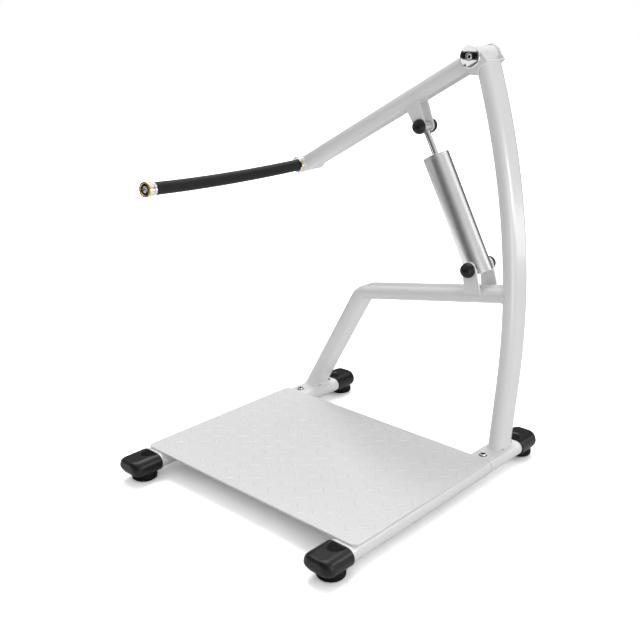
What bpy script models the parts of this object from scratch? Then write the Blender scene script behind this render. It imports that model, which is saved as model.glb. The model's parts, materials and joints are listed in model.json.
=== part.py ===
"""Standing shoulder machine with a hydraulic cylinder.

A floor frame of flat-oval tube carries a tread platform, a curved post and a bent brace. One lever arm
turns on an axle at the top of the post, holds a padded bar at its free end, and is slowed by the cylinder
between the arm and the brace.
"""

import math

import bmesh
import bpy
from mathutils import Matrix, Vector

# Sizes are in metres. The pieces are placed from the floor under the front left foot: +X to the right
# runner, +Y to the back, +Z up. The last step moves the whole machine so that its origin is the centre
# of its footprint.

# Flat-oval tube of the frame and the arm
TUBE_WIDTH = 0.080
TUBE_DEPTH = 0.040
TUBE_WALL = 0.0025
FIT_GAP = 0.0003
TURNED_EDGE = 0.001

# Feet
FOOT_SPACING_X = 0.665
FOOT_SPACING_Y = 0.795
PAD_DIAMETER = 0.068
PAD_HEIGHT = 0.0184
PAD_EDGE = 0.003
STUD_DIAMETER = 0.010
STUD_REACH = 0.014
CAP_LENGTH = 0.086
CAP_WALL = 0.003
CAP_RIM_ROUND = 0.0012
CAP_SOLID_END = 0.016
CAP_PLAN_RADIUS = 0.022
CAP_EDGE_RADIUS = 0.011
FRONT_PAD_TO_RIM = 0.030
REAR_PAD_TO_RIM = 0.054

# Runners
SEAM_TO_UPRIGHT = 0.101
SPIGOT_LENGTH = 0.120
SPIGOT_WALL = 0.003
SEAM_BOLT_SETBACK = 0.017
SEAM_BOLT_HEAD = 0.020
SEAM_BOLT_HEAD_HEIGHT = 0.007
SEAM_BOLT_RIM = 0.003
SEAM_BOLT_FACE = 0.0124
SEAM_BOLT_SHANK = 0.010
SEAM_BOLT_REACH = 0.014
SOCKET_ACROSS_FLATS = 0.008

# Platform
PLATFORM_FRONT_Y = 0.041
PLATFORM_OVERHANG = 0.035
PLATFORM_TO_SEAM = 0.005
PLATFORM_THICKNESS = 0.005
PLATFORM_CORNER_RADIUS = 0.018
CROSS_MEMBER_WIDTH = 0.050
CROSS_MEMBER_DEPTH = 0.025
CROSS_MEMBER_WALL = 0.002
CROSS_MEMBER_SETBACK = 0.070
CROSS_MEMBER_COUNT = 3

# Post
UPRIGHT_TO_REAR_PAD = 0.105
POST_RADIUS = 1.962
POST_BULGE = 0.0152
POST_PLUMB_Z = 0.380
POST_STRAIGHT_TO_Z = 0.250

# Brace
BRACE_FOOT_X = -0.0087
BRACE_LEG_ANGLE = math.radians(60.4)
BRACE_RUN_ANGLE = math.radians(10.24)
BRACE_KNEE_X = 0.1848
BRACE_BEND_RADIUS = 0.045

# Arm pivot at the top of the post
PIVOT_SETBACK = 0.1425
PIVOT_Z = 1.073
BARREL_DIAMETER = 0.051
BEARING_OUTER = 0.042
BEARING_WIDTH = 0.012
BEARING_INSET = 0.001
AXLE_DIAMETER = 0.020
CHEEK_THICKNESS = 0.004
CHEEK_RADIUS = 0.0275
CHEEK_TIP = (0.042, -0.005)
CHEEK_WAIST = (0.0245, -0.0265)
CHEEK_HEEL = (0.0215, -0.043)
CHEEK_TOE = (0.000, -0.043)
WEB_SLOPE = math.radians(37.2)
WEB_LENGTH = 0.054
AXLE_CAP_DIAMETER = 0.057
AXLE_CAP_DEPTH = 0.010
AXLE_CAP_RIM = 0.0055
AXLE_CAP_FACE = 0.033
AXLE_SEAT_IN_CAP = 0.005

# Arm
ARM_DROP = math.radians(29.1)
ARM_LENGTH = 0.6567
HANDLE_SOCKET_DIAMETER = 0.045

# Handle bar, along its own line from the arm's middle plane
BAR_DIAMETER = 0.028
BAR_WALL = 0.0025
BAR_LEAN = math.radians(7.1)
BAR_STRAIGHT = 0.045
BAR_RADIUS = 1.977
COLLAR_DIAMETER = 0.048
COLLAR_LENGTH = 0.010
COLLAR_EDGE = 0.0015
COLLAR_NECK_DIAMETER = 0.043
COLLAR_NECK_LENGTH = 0.003
GRIP_DIAMETER = 0.0334
GRIP_LENGTH = 0.533
END_COLLAR_DIAMETER = 0.038
END_COLLAR_LENGTH = 0.008
END_CAP_DIAMETER = 0.040
END_CAP_LENGTH = 0.020
END_CAP_RIM = 0.005
END_CAP_DISH_DIAMETER = 0.017
END_CAP_DISH_DEPTH = 0.004
END_CAP_PLUG = 0.014
END_CAP_PLUG_CLEARANCE = 0.0006

# Hydraulic cylinder
LOWER_PIN_SETBACK = 0.1162
LOWER_PIN_Z = 0.544
UPPER_PIN_ALONG_ARM = 0.2286
UPPER_PIN_BELOW_ARM = 0.0799
PIN_DIAMETER = 0.012
PIN_SEAT_IN_CAP = 0.008
LOWER_PLATE_SET_IN = 0.002
LOWER_PLATE_THICKNESS = 0.006
LOWER_PLATE_RADIUS = 0.020
LOWER_PLATE_BEHIND = 0.0224
LOWER_PLATE_AHEAD = 0.0276
LOWER_PLATE_OVERLAP = 0.012
LOWER_CAP_SKIRT = 0.0047
UPPER_PLATE_INNER = 0.016
UPPER_PLATE_THICKNESS = 0.006
UPPER_PLATE_RADIUS = 0.0165
UPPER_PLATE_INBOARD = 0.0246
UPPER_PLATE_OUTBOARD = 0.0214
UPPER_CAP_SKIRT = 0.0007
PIN_CAP_RADIUS = 0.020
PIN_CAP_FACE_RADIUS = 0.003
CYLINDER_DIAMETER = 0.070
CYLINDER_WALL = 0.004
CYLINDER_BELOW_PIN = 0.019
CYLINDER_ABOVE_PIN = 0.3126
CYLINDER_FLANGE = 0.008
CYLINDER_PLUG_DEPTH = 0.025
SLOT_LENGTH = 0.036
SLOT_HEIGHT = 0.016
ROD_DIAMETER = 0.016
ROD_LENGTH = 0.330
ROD_TO_BUSH = 0.002
ROD_EYE_RADIUS = 0.0125
ROD_EYE_SHANK = 0.0195
ROD_EYE_REACH = 0.019
ROD_BUSH_WALL = 0.002
PISTON_LENGTH = 0.020
PISTON_CLEARANCE = 0.0006
PISTON_RING_WIDTH = 0.006
PISTON_RING_DEPTH = 0.0035
WIPER_DIAMETER = 0.026
WIPER_DEPTH = 0.004

# Facets
OVAL_STEPS = 8
ROUND_STEPS = 24
CYLINDER_STEPS = 32
PIN_STEPS = 18
BAR_STEPS = 16
BAR_STATION = 0.080
POST_ARC_STEPS = 10
BRACE_BEND_STEPS = 6
CORNER_STEPS = 3
LUG_STEPS = 12
CHEEK_STEPS = 18
CAP_ROUND_STEPS = 4
DOME_STEPS = 4
EDGE_STEPS = 3

X_AXIS = Vector((1, 0, 0))
Y_AXIS = Vector((0, 1, 0))
Z_AXIS = Vector((0, 0, 1))

# Places worked out from the sizes above
RUNNER_Z = PAD_HEIGHT + CAP_WALL + TUBE_DEPTH / 2 + 2 * FIT_GAP
RUNNER_TOP_Z = RUNNER_Z + TUBE_DEPTH / 2
CAP_GROWTH = 2 * (CAP_WALL + FIT_GAP)
UPRIGHT_PLANE_Y = FOOT_SPACING_Y - UPRIGHT_TO_REAR_PAD
SEAM_Y = UPRIGHT_PLANE_Y - SEAM_TO_UPRIGHT
POST_PLUMB_X = FOOT_SPACING_X + POST_BULGE
PIVOT = Vector((POST_PLUMB_X - PIVOT_SETBACK, UPRIGHT_PLANE_Y, PIVOT_Z))
LOWER_PIN = Vector((POST_PLUMB_X - LOWER_PIN_SETBACK, UPRIGHT_PLANE_Y, LOWER_PIN_Z))
ARM_DIRECTION = Vector((-math.cos(ARM_DROP), 0, -math.sin(ARM_DROP)))
ARM_UPWARD = Vector((-math.sin(ARM_DROP), 0, math.cos(ARM_DROP)))
UPPER_PIN = PIVOT + ARM_DIRECTION * UPPER_PIN_ALONG_ARM - ARM_UPWARD * UPPER_PIN_BELOW_ARM
CYLINDER_DIRECTION = (UPPER_PIN - LOWER_PIN).normalized()
RUN_DIRECTION = Vector((math.cos(BRACE_RUN_ANGLE), 0, math.sin(BRACE_RUN_ANGLE)))
RUN_UPWARD = Vector((-math.sin(BRACE_RUN_ANGLE), 0, math.cos(BRACE_RUN_ANGLE)))
HALF_TUBE = TUBE_WIDTH / 2
CHEEK_INNER = HALF_TUBE + FIT_GAP
CHEEK_OUTER = CHEEK_INNER + CHEEK_THICKNESS
WEB_DIRECTION = (-math.cos(WEB_SLOPE), -math.sin(WEB_SLOPE))
WEB_DOWNWARD = (math.sin(WEB_SLOPE), -math.cos(WEB_SLOPE))
LOWER_PLATE_INNER = HALF_TUBE - LOWER_PLATE_SET_IN
LOWER_PLATE_OUTER = LOWER_PLATE_INNER + LOWER_PLATE_THICKNESS
UPPER_PLATE_OUTER = UPPER_PLATE_INNER + UPPER_PLATE_THICKNESS
CYLINDER_BORE = CYLINDER_DIAMETER - 2 * CYLINDER_WALL


# Materials


def finish(name, colour, roughness, metallic=0.0):
    """A Principled BSDF material of one colour."""
    material = bpy.data.materials.new(name)
    material.use_nodes = True
    shader = material.node_tree.nodes["Principled BSDF"]
    shader.inputs["Base Color"].default_value = (*colour, 1)
    shader.inputs["Roughness"].default_value = roughness
    shader.inputs["Metallic"].default_value = metallic
    return material


def white_powder_coat():
    return finish("white_powder_coat", (0.86, 0.86, 0.87), 0.30)


def grey_tread_plate():
    return finish("grey_tread_plate", (0.78, 0.79, 0.80), 0.38)


def black_rubber():
    return finish("black_rubber", (0.018, 0.018, 0.019), 0.60)


def black_cap_plastic():
    return finish("black_cap_plastic", (0.020, 0.020, 0.021), 0.38)


def black_grip_foam():
    return finish("black_grip_foam", (0.022, 0.022, 0.023), 0.75)


def polished_chrome():
    return finish("polished_chrome", (0.80, 0.80, 0.81), 0.10, 1.0)


def gold_tinted_chrome():
    return finish("gold_tinted_chrome", (0.80, 0.66, 0.36), 0.16, 1.0)


def brushed_aluminium():
    return finish("brushed_aluminium", (0.62, 0.63, 0.64), 0.32, 1.0)


def plain_steel():
    return finish("plain_steel", (0.45, 0.45, 0.46), 0.40, 1.0)


def bronze_bush():
    return finish("bronze_bush", (0.62, 0.46, 0.24), 0.40, 1.0)


def seal_rubber():
    return finish("seal_rubber", (0.03, 0.03, 0.03), 0.50)


# Outlines


def flat_oval(width, depth):
    """Points of a tube section with half-round sides, anticlockwise, with its width along x."""
    radius = depth / 2
    reach = width / 2 - radius
    points = []
    for side in (1, -1):
        for step in range(OVAL_STEPS + 1):
            angle = math.pi * (step / OVAL_STEPS - 0.5)
            points.append((side * (reach + radius * math.cos(angle)), side * radius * math.sin(angle)))
    return points


def circle(radius, steps):
    return [
        (radius * math.cos(math.tau * step / steps), radius * math.sin(math.tau * step / steps))
        for step in range(steps)
    ]


def arc(centre, radius, start, end, steps):
    """Points from the start angle to the end angle, both included."""
    return [
        (
            centre[0] + radius * math.cos(start + (end - start) * step / steps),
            centre[1] + radius * math.sin(start + (end - start) * step / steps),
        )
        for step in range(steps + 1)
    ]


def rounded_shoulder(radius, rim, face, top, steps):
    """A turned profile's quarter round, from the end of its side at the rim to the edge of its flat face."""
    points = []
    for step in range(steps + 1):
        angle = math.pi / 2 * step / steps
        points.append((face + (radius - face) * math.cos(angle), rim + (top - rim) * math.sin(angle)))
    return points


def tangent_angle(point, radius, turn):
    """Angle at which the tangent from a point touches a circle about the origin; turn is 1 or -1."""
    distance = math.hypot(*point)
    return math.atan2(point[1], point[0]) + turn * math.acos(radius / distance)


def rounded_rectangle(width, depth, radius):
    points = []
    corners = ((1, 1), (-1, 1), (-1, -1), (1, -1))
    for quarter, (x_side, y_side) in enumerate(corners):
        centre = (x_side * (width / 2 - radius), y_side * (depth / 2 - radius))
        start = quarter * math.pi / 2
        points += arc(centre, radius, start, start + math.pi / 2, CORNER_STEPS)
    return points


def lug_outline(radius, foot_behind, foot_ahead, foot_drop):
    """An eye about the origin on two straight sides that run down to a flat foot."""
    behind = (-foot_behind, -foot_drop)
    ahead = (foot_ahead, -foot_drop)
    start = tangent_angle(ahead, radius, 1)
    end = tangent_angle(behind, radius, -1) + math.tau
    return [behind, ahead] + arc((0, 0), radius, start, end, LUG_STEPS)


# Solids


def loft(rings, closed=False):
    """A skin over rings of as many points each; closed joins the last ring to the first."""
    mesh = bmesh.new()
    loops = [[mesh.verts.new(point) for point in ring] for ring in rings]
    pairs = list(zip(loops, loops[1:]))
    if closed:
        pairs.append((loops[-1], loops[0]))
    for lower, upper in pairs:
        for index in range(len(lower)):
            after = (index + 1) % len(lower)
            mesh.faces.new((lower[index], lower[after], upper[after], upper[index]))
    if not closed:
        mesh.faces.new(loops[0])
        mesh.faces.new(loops[-1])
    return mesh


def cup(outside, inside):
    """A skin over rings that run up the outside to its closed end, and over those from the inside's floor down."""
    mesh = bmesh.new()
    outer = [[mesh.verts.new(point) for point in ring] for ring in outside]
    inner = [[mesh.verts.new(point) for point in ring] for ring in inside]
    for lower, upper in [*zip(outer, outer[1:]), *zip(inner, inner[1:]), (inner[-1], outer[0])]:
        for index in range(len(lower)):
            after = (index + 1) % len(lower)
            mesh.faces.new((lower[index], lower[after], upper[after], upper[index]))
    mesh.faces.new(outer[-1])
    mesh.faces.new(inner[0])
    return mesh


def prism(outline, start, end):
    """An outline in x and y, extruded along z."""
    return loft([[(x, y, height) for x, y in outline] for height in (start, end)])


def turned(profile, steps=ROUND_STEPS, closed=False):
    """A profile of (radius, height) points turned about z; closed makes a ring of it."""
    rings = [[(x, y, height) for x, y in circle(radius, steps)] for radius, height in profile]
    return loft(rings, closed)


def hollow_turned(outer, inner, start, end, steps=ROUND_STEPS):
    """A plain ring or sleeve about z."""
    return turned([(outer, start), (outer, end), (inner, end), (inner, start)], steps, closed=True)


def section_along(path, across, outline):
    """The outline as one ring at each (point, direction) of the path, its x along across."""
    rings = []
    for point, direction in path:
        upright = direction.cross(across).normalized()
        rings.append([point + across * x + upright * y for x, y in outline])
    return rings


def swept_solid(path, across, outline):
    return loft(section_along(path, across, outline))


def swept_tube(path, across, outer, inner):
    """A tube along a path: out along its outer outline and back along its inner one."""
    rings = section_along(path, across, outer)
    rings += reversed(section_along(path, across, inner))
    return loft(rings, closed=True)


def oval_tube(path, across):
    outer = flat_oval(TUBE_WIDTH, TUBE_DEPTH)
    inner = flat_oval(TUBE_WIDTH - 2 * TUBE_WALL, TUBE_DEPTH - 2 * TUBE_WALL)
    return swept_tube(path, across, outer, inner)


def oval_cutter(path, across):
    """The tube's outside with the fitting gap round it, to cope another tube to it."""
    return swept_solid(path, across, flat_oval(TUBE_WIDTH + 2 * FIT_GAP, TUBE_DEPTH + 2 * FIT_GAP))


def axes_at(origin, x_axis, z_axis):
    """A matrix with its x and z along the two directions."""
    y_axis = z_axis.cross(x_axis)
    rotation = Matrix((x_axis, y_axis, z_axis)).transposed()
    return Matrix.Translation(origin) @ rotation.to_4x4()


# Objects


def add_empty(name, parent=None, matrix=None):
    empty = bpy.data.objects.new(name, None)
    bpy.context.scene.collection.objects.link(empty)
    empty.parent = parent
    if matrix:
        empty.matrix_local = matrix
    return empty


def add_piece(name, mesh, parent, material, matrix=None):
    """One named solid. The matrix places it in its parent's frame."""
    if matrix:
        bmesh.ops.transform(mesh, matrix=matrix, verts=mesh.verts)
    bmesh.ops.recalc_face_normals(mesh, faces=mesh.faces)
    data = bpy.data.meshes.new(name)
    mesh.to_mesh(data)
    mesh.free()
    data.shade_smooth()
    data.set_sharp_from_angle(angle=math.radians(32))
    data.materials.append(material)
    piece = bpy.data.objects.new(name, data)
    bpy.context.scene.collection.objects.link(piece)
    piece.parent = parent
    return piece


def reshape(piece, tool_mesh, operation="DIFFERENCE", matrix=None):
    """Cuts the piece with a hidden tool, or joins the tool to it."""
    name = f"{piece.name}_tool_{len(piece.modifiers)}"
    tool = add_piece(name, tool_mesh, piece.parent, piece.data.materials[0], matrix)
    tool.hide_render = True
    tool.display_type = "WIRE"
    modifier = piece.modifiers.new(operation.title(), "BOOLEAN")
    modifier.operation = operation
    modifier.solver = "EXACT"
    modifier.object = tool
    return piece


def cut_round_hole(piece, diameter, matrix, start, end):
    return reshape(piece, turned([(diameter / 2, start), (diameter / 2, end)], PIN_STEPS), matrix=matrix)


# Feet and runners


def cap_sections(length):
    """Rings of the cap's outside from its rim to its rounded end, as (height, width loss, depth loss)."""
    yield 0, 2 * CAP_RIM_ROUND, 2 * CAP_RIM_ROUND
    yield CAP_RIM_ROUND, 0, 0
    yield length - CAP_PLAN_RADIUS, 0, 0
    for step in range(1, CAP_ROUND_STEPS + 1):
        angle = math.pi / 2 * step / CAP_ROUND_STEPS
        from_end = CAP_PLAN_RADIUS * (1 - math.sin(angle))
        width_loss = CAP_PLAN_RADIUS * (1 - math.cos(angle))
        edge_reach = max(0.0, 1 - from_end / CAP_EDGE_RADIUS)
        depth_loss = CAP_EDGE_RADIUS * (1 - math.sqrt(1 - edge_reach**2))
        yield length - from_end, 2 * width_loss, 2 * depth_loss


def foot_cap(name, machine, runner_x, rim_y, outward, pad_y):
    """A moulded cap over a runner's end, with a hole under it for the foot's stud."""
    width = TUBE_WIDTH + CAP_GROWTH
    depth = TUBE_DEPTH + CAP_GROWTH
    outside = []
    for height, width_loss, depth_loss in cap_sections(CAP_LENGTH):
        outline = flat_oval(width - width_loss, depth - depth_loss)
        outside.append([(x, y, height) for x, y in outline])
    bore = flat_oval(TUBE_WIDTH + 2 * FIT_GAP, TUBE_DEPTH + 2 * FIT_GAP)
    inside = [[(x, y, height) for x, y in bore] for height in (CAP_LENGTH - CAP_SOLID_END, 0)]
    place = axes_at(Vector((runner_x, rim_y, RUNNER_Z)), X_AXIS, Y_AXIS * outward)
    cap = add_piece(name, cup(outside, inside), machine, black_cap_plastic(), place)
    return cut_stud_hole(cap, runner_x, pad_y)


def foot_pad(name, machine, x, y):
    """A round rubber pad with its moulded-in stud, which passes through the cap into the runner."""
    radius = PAD_DIAMETER / 2
    stud = STUD_DIAMETER / 2
    top = PAD_HEIGHT
    mesh = turned(
        [
            (radius - PAD_EDGE / 2, 0),
            (radius, PAD_EDGE),
            (radius, top - PAD_EDGE),
            (radius - PAD_EDGE, top),
            (stud, top),
            (stud, top + STUD_REACH),
        ]
    )
    return add_piece(name, mesh, machine, black_rubber(), Matrix.Translation((x, y, 0)))


def runner_line(x, start, end):
    return [(Vector((x, start, RUNNER_Z)), Y_AXIS), (Vector((x, end, RUNNER_Z)), Y_AXIS)]


def cut_stud_hole(piece, x, y):
    """A hole through the underside alone."""
    under = Matrix.Translation((x, y, 0))
    return cut_round_hole(piece, STUD_DIAMETER + 2 * FIT_GAP, under, 0, RUNNER_Z)


def runner(side, machine, x):
    """Front tube, rear stub, the spigot that joins them inside, and the bolt that holds it."""
    front_rim = FRONT_PAD_TO_RIM
    rear_rim = FOOT_SPACING_Y - REAR_PAD_TO_RIM
    tube_start = front_rim - CAP_LENGTH + CAP_SOLID_END + FIT_GAP
    stub_end = rear_rim + CAP_LENGTH - CAP_SOLID_END - FIT_GAP
    coat = white_powder_coat()

    tube = add_piece(
        f"runner_tube_{side}", oval_tube(runner_line(x, tube_start, SEAM_Y), X_AXIS), machine, coat
    )
    cut_stud_hole(tube, x, 0)
    stub_start = SEAM_Y + FIT_GAP
    stub = add_piece(f"rear_stub_{side}", oval_tube(runner_line(x, stub_start, stub_end), X_AXIS), machine, coat)
    cut_stud_hole(stub, x, FOOT_SPACING_Y)

    inset = TUBE_WALL + FIT_GAP
    outer = flat_oval(TUBE_WIDTH - 2 * inset, TUBE_DEPTH - 2 * inset)
    inset += SPIGOT_WALL
    inner = flat_oval(TUBE_WIDTH - 2 * inset, TUBE_DEPTH - 2 * inset)
    spigot_path = runner_line(x, SEAM_Y - SPIGOT_LENGTH / 2, SEAM_Y + SPIGOT_LENGTH / 2)
    spigot = add_piece(f"spigot_{side}", swept_tube(spigot_path, X_AXIS, outer, inner), machine, plain_steel())

    bolt_place = Matrix.Translation((x, SEAM_Y + SEAM_BOLT_SETBACK, RUNNER_TOP_Z))
    for piece in (stub, spigot):
        cut_round_hole(piece, SEAM_BOLT_SHANK + 2 * FIT_GAP, bolt_place, -TUBE_DEPTH / 2, TUBE_DEPTH / 2)
    seam_bolt(f"seam_bolt_{side}", machine, bolt_place)

    foot_cap(f"foot_cap_front_{side}", machine, x, front_rim, -1, 0)
    foot_cap(f"foot_cap_rear_{side}", machine, x, rear_rim, 1, FOOT_SPACING_Y)
    foot_pad(f"foot_pad_front_{side}", machine, x, 0)
    foot_pad(f"foot_pad_rear_{side}", machine, x, FOOT_SPACING_Y)


def seam_bolt(name, machine, place):
    """A button-head bolt with a hexagon socket."""
    head = SEAM_BOLT_HEAD / 2
    shank = SEAM_BOLT_SHANK / 2
    height = SEAM_BOLT_HEAD_HEIGHT
    profile = [(shank, -SEAM_BOLT_REACH), (shank, FIT_GAP), (head, FIT_GAP)]
    profile += rounded_shoulder(head, SEAM_BOLT_RIM, SEAM_BOLT_FACE / 2, height, EDGE_STEPS)
    bolt = add_piece(name, turned(profile, PIN_STEPS), machine, polished_chrome(), place)
    socket = circle(SOCKET_ACROSS_FLATS / math.sqrt(3), 6)
    return reshape(bolt, prism(socket, height / 2, height * 2), matrix=place)


# Platform


def platform_plate(machine):
    left = -PLATFORM_OVERHANG
    right = FOOT_SPACING_X + PLATFORM_OVERHANG
    back = SEAM_Y - PLATFORM_TO_SEAM
    outline = rounded_rectangle(right - left, back - PLATFORM_FRONT_Y, PLATFORM_CORNER_RADIUS)
    centre = Vector(((left + right) / 2, (PLATFORM_FRONT_Y + back) / 2, RUNNER_TOP_Z + FIT_GAP))
    mesh = prism(outline, 0, PLATFORM_THICKNESS)
    return add_piece("platform_plate", mesh, machine, grey_tread_plate(), Matrix.Translation(centre))


def cross_member(index, machine):
    """A box tube under the platform, coped to both runners."""
    first = PLATFORM_FRONT_Y + CROSS_MEMBER_SETBACK
    last = SEAM_Y - PLATFORM_TO_SEAM - CROSS_MEMBER_SETBACK
    y = first + (last - first) * index / (CROSS_MEMBER_COUNT - 1)
    z = RUNNER_TOP_Z - CROSS_MEMBER_DEPTH / 2
    path = [(Vector((0, y, z)), X_AXIS), (Vector((FOOT_SPACING_X, y, z)), X_AXIS)]
    outer = rounded_rectangle(CROSS_MEMBER_WIDTH, CROSS_MEMBER_DEPTH, 2 * CROSS_MEMBER_WALL)
    inner = rounded_rectangle(
        CROSS_MEMBER_WIDTH - 2 * CROSS_MEMBER_WALL, CROSS_MEMBER_DEPTH - 2 * CROSS_MEMBER_WALL, CROSS_MEMBER_WALL
    )
    member = add_piece(
        f"cross_member_{index + 1}", swept_tube(path, Y_AXIS, outer, inner), machine, white_powder_coat()
    )
    for x in (0, FOOT_SPACING_X):
        reach = CROSS_MEMBER_WIDTH
        reshape(member, oval_cutter(runner_line(x, y - reach, y + reach), X_AXIS))
    return member


# Post and brace


def post_point(z):
    """Centre of the post and its upward direction at a height: straight low down, then a long arc."""
    bend_z = max(z, POST_STRAIGHT_TO_Z)
    rise = bend_z - POST_PLUMB_Z
    run = math.sqrt(POST_RADIUS**2 - rise**2)
    direction = Vector((-rise, 0, run)).normalized()
    centre = Vector((POST_PLUMB_X - POST_RADIUS + run, UPRIGHT_PLANE_Y, bend_z))
    return centre + direction * ((z - bend_z) / direction.z), direction


def post_path():
    heights = [RUNNER_Z, POST_STRAIGHT_TO_Z]
    for step in range(1, POST_ARC_STEPS + 1):
        heights.append(POST_STRAIGHT_TO_Z + (PIVOT_Z - POST_STRAIGHT_TO_Z) * step / POST_ARC_STEPS)
    return [post_point(z) for z in heights]


def leg_point(z):
    return Vector((BRACE_FOOT_X + (z - RUNNER_TOP_Z) / math.tan(BRACE_LEG_ANGLE), UPRIGHT_PLANE_Y, z))


def knee_point():
    """Where the centre lines of the brace's leg and run would meet."""
    return leg_point(RUNNER_TOP_Z + (BRACE_KNEE_X - BRACE_FOOT_X) * math.tan(BRACE_LEG_ANGLE))


def run_height(x):
    return knee_point().z + (x - BRACE_KNEE_X) * math.tan(BRACE_RUN_ANGLE)


def brace_path():
    """Up the leg, round the bend and along the run into the post."""
    leg_direction = Vector((math.cos(BRACE_LEG_ANGLE), 0, math.sin(BRACE_LEG_ANGLE)))
    turn = BRACE_LEG_ANGLE - BRACE_RUN_ANGLE
    knee = knee_point()
    setback = BRACE_BEND_RADIUS * math.tan(turn / 2)
    bend_start = knee - leg_direction * setback
    centre = bend_start + Vector((leg_direction.z, 0, -leg_direction.x)) * BRACE_BEND_RADIUS
    path = [(leg_point(RUNNER_Z), leg_direction)]
    for step in range(BRACE_BEND_STEPS + 1):
        angle = BRACE_LEG_ANGLE - turn * step / BRACE_BEND_STEPS
        outward = Vector((-math.sin(angle), 0, math.cos(angle)))
        path.append((centre + outward * BRACE_BEND_RADIUS, Vector((math.cos(angle), 0, math.sin(angle)))))
    meeting_x = post_point(run_height(POST_PLUMB_X))[0].x
    path.append((Vector((meeting_x, UPRIGHT_PLANE_Y, run_height(meeting_x))), RUN_DIRECTION))
    return path


def foot_cutter(x):
    """The rear stub's outside under a tube that stands on it."""
    return oval_cutter(runner_line(x, UPRIGHT_PLANE_Y - TUBE_WIDTH, UPRIGHT_PLANE_Y + TUBE_WIDTH), X_AXIS)


def web_point(along, below):
    """A point of the bracket's web in x and z about the pivot, from the cheeks' tip down its slope and under it."""
    return (
        CHEEK_TIP[0] + WEB_DIRECTION[0] * along + WEB_DOWNWARD[0] * below,
        CHEEK_TIP[1] + WEB_DIRECTION[1] * along + WEB_DOWNWARD[1] * below,
    )


def web_plane_block():
    """Everything above the underside of the bracket's web, less the gap, in x and z about the pivot."""
    underside = web_point(0, CHEEK_THICKNESS + FIT_GAP)
    reach = 4 * BARREL_DIAMETER
    corners = ((reach, 0), (-reach, 0), (-reach, -reach), (reach, -reach))
    return [
        (
            underside[0] + WEB_DIRECTION[0] * along + WEB_DOWNWARD[0] * below,
            underside[1] + WEB_DIRECTION[1] * along + WEB_DOWNWARD[1] * below,
        )
        for along, below in corners
    ]


def side_view(origin):
    """Places an outline drawn in x and z about a point, extruded along -Y."""
    return axes_at(origin, X_AXIS, -Y_AXIS)


def post_tube(machine):
    post = add_piece("post_tube", oval_tube(post_path(), Y_AXIS), machine, white_powder_coat())
    reshape(post, foot_cutter(FOOT_SPACING_X))
    block = prism(web_plane_block(), -TUBE_WIDTH, TUBE_WIDTH)
    return reshape(post, block, matrix=side_view(PIVOT))


def brace_tube(machine):
    brace = add_piece("brace_tube", oval_tube(brace_path(), Y_AXIS), machine, white_powder_coat())
    reshape(brace, foot_cutter(0))
    return reshape(brace, oval_cutter(post_path(), Y_AXIS))


# Pivot bracket, axle and bearings


def cheek_outline():
    """A disc about the axle, drawn out to the web's tip and down beside the post."""
    start = tangent_angle(CHEEK_TIP, CHEEK_RADIUS, 1)
    end = tangent_angle(CHEEK_TOE, CHEEK_RADIUS, -1) + math.tau
    return [CHEEK_TOE, CHEEK_HEEL, CHEEK_WAIST, CHEEK_TIP] + arc((0, 0), CHEEK_RADIUS, start, end, CHEEK_STEPS)


def web_outline():
    return [
        CHEEK_TIP,
        web_point(WEB_LENGTH, 0),
        web_point(WEB_LENGTH, CHEEK_THICKNESS),
        web_point(0, CHEEK_THICKNESS),
    ]


def pivot_bracket(machine):
    """Two cheeks beside the post's top, joined by a sloping web that closes the tube under the barrel."""
    place = side_view(PIVOT)
    coat = white_powder_coat()
    bracket = add_piece(
        "pivot_bracket", prism(web_outline(), -CHEEK_OUTER, CHEEK_OUTER), machine, coat, place
    )
    for start in (-CHEEK_OUTER, CHEEK_INNER):
        cheek = prism(cheek_outline(), start, start + CHEEK_THICKNESS)
        reshape(bracket, cheek, "UNION", place)
    return cut_round_hole(bracket, AXLE_DIAMETER + 2 * FIT_GAP, place, -2 * CHEEK_OUTER, 2 * CHEEK_OUTER)


def axle(machine):
    half = CHEEK_OUTER + AXLE_SEAT_IN_CAP
    mesh = turned([(AXLE_DIAMETER / 2, -half), (AXLE_DIAMETER / 2, half)])
    return add_piece("pivot_axle", mesh, machine, plain_steel(), side_view(PIVOT))


def axle_cap(name, machine, outward):
    """A turned chrome cap on the axle's end, against the cheek."""
    radius = AXLE_CAP_DIAMETER / 2
    seat = AXLE_DIAMETER / 2 + FIT_GAP
    profile = [(seat, AXLE_SEAT_IN_CAP + FIT_GAP), (seat, FIT_GAP), (radius, FIT_GAP)]
    profile += rounded_shoulder(radius, AXLE_CAP_RIM, AXLE_CAP_FACE / 2, AXLE_CAP_DEPTH, DOME_STEPS)
    origin = PIVOT + Y_AXIS * outward * CHEEK_OUTER
    return add_piece(name, turned(profile), machine, polished_chrome(), axes_at(origin, X_AXIS, Y_AXIS * outward))


def pivot_bearing(name, arm, side):
    """A bearing at one end of the barrel, between it and the axle."""
    outer = BEARING_OUTER / 2
    inner = AXLE_DIAMETER / 2 + FIT_GAP
    end = HALF_TUBE - BEARING_INSET
    mesh = hollow_turned(outer, inner, end - BEARING_WIDTH, end)
    return add_piece(name, mesh, arm, plain_steel(), axes_at(Vector(), X_AXIS, Y_AXIS * side))


# Arm. Its frame has +X along the arm to the handle, +Y to the front and +Z square to the arm, upward.


def pivot_barrel(arm):
    mesh = hollow_turned(BARREL_DIAMETER / 2, BEARING_OUTER / 2 + FIT_GAP, -HALF_TUBE, HALF_TUBE)
    return add_piece("pivot_barrel", mesh, arm, white_powder_coat(), axes_at(Vector(), X_AXIS, Y_AXIS))


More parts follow.
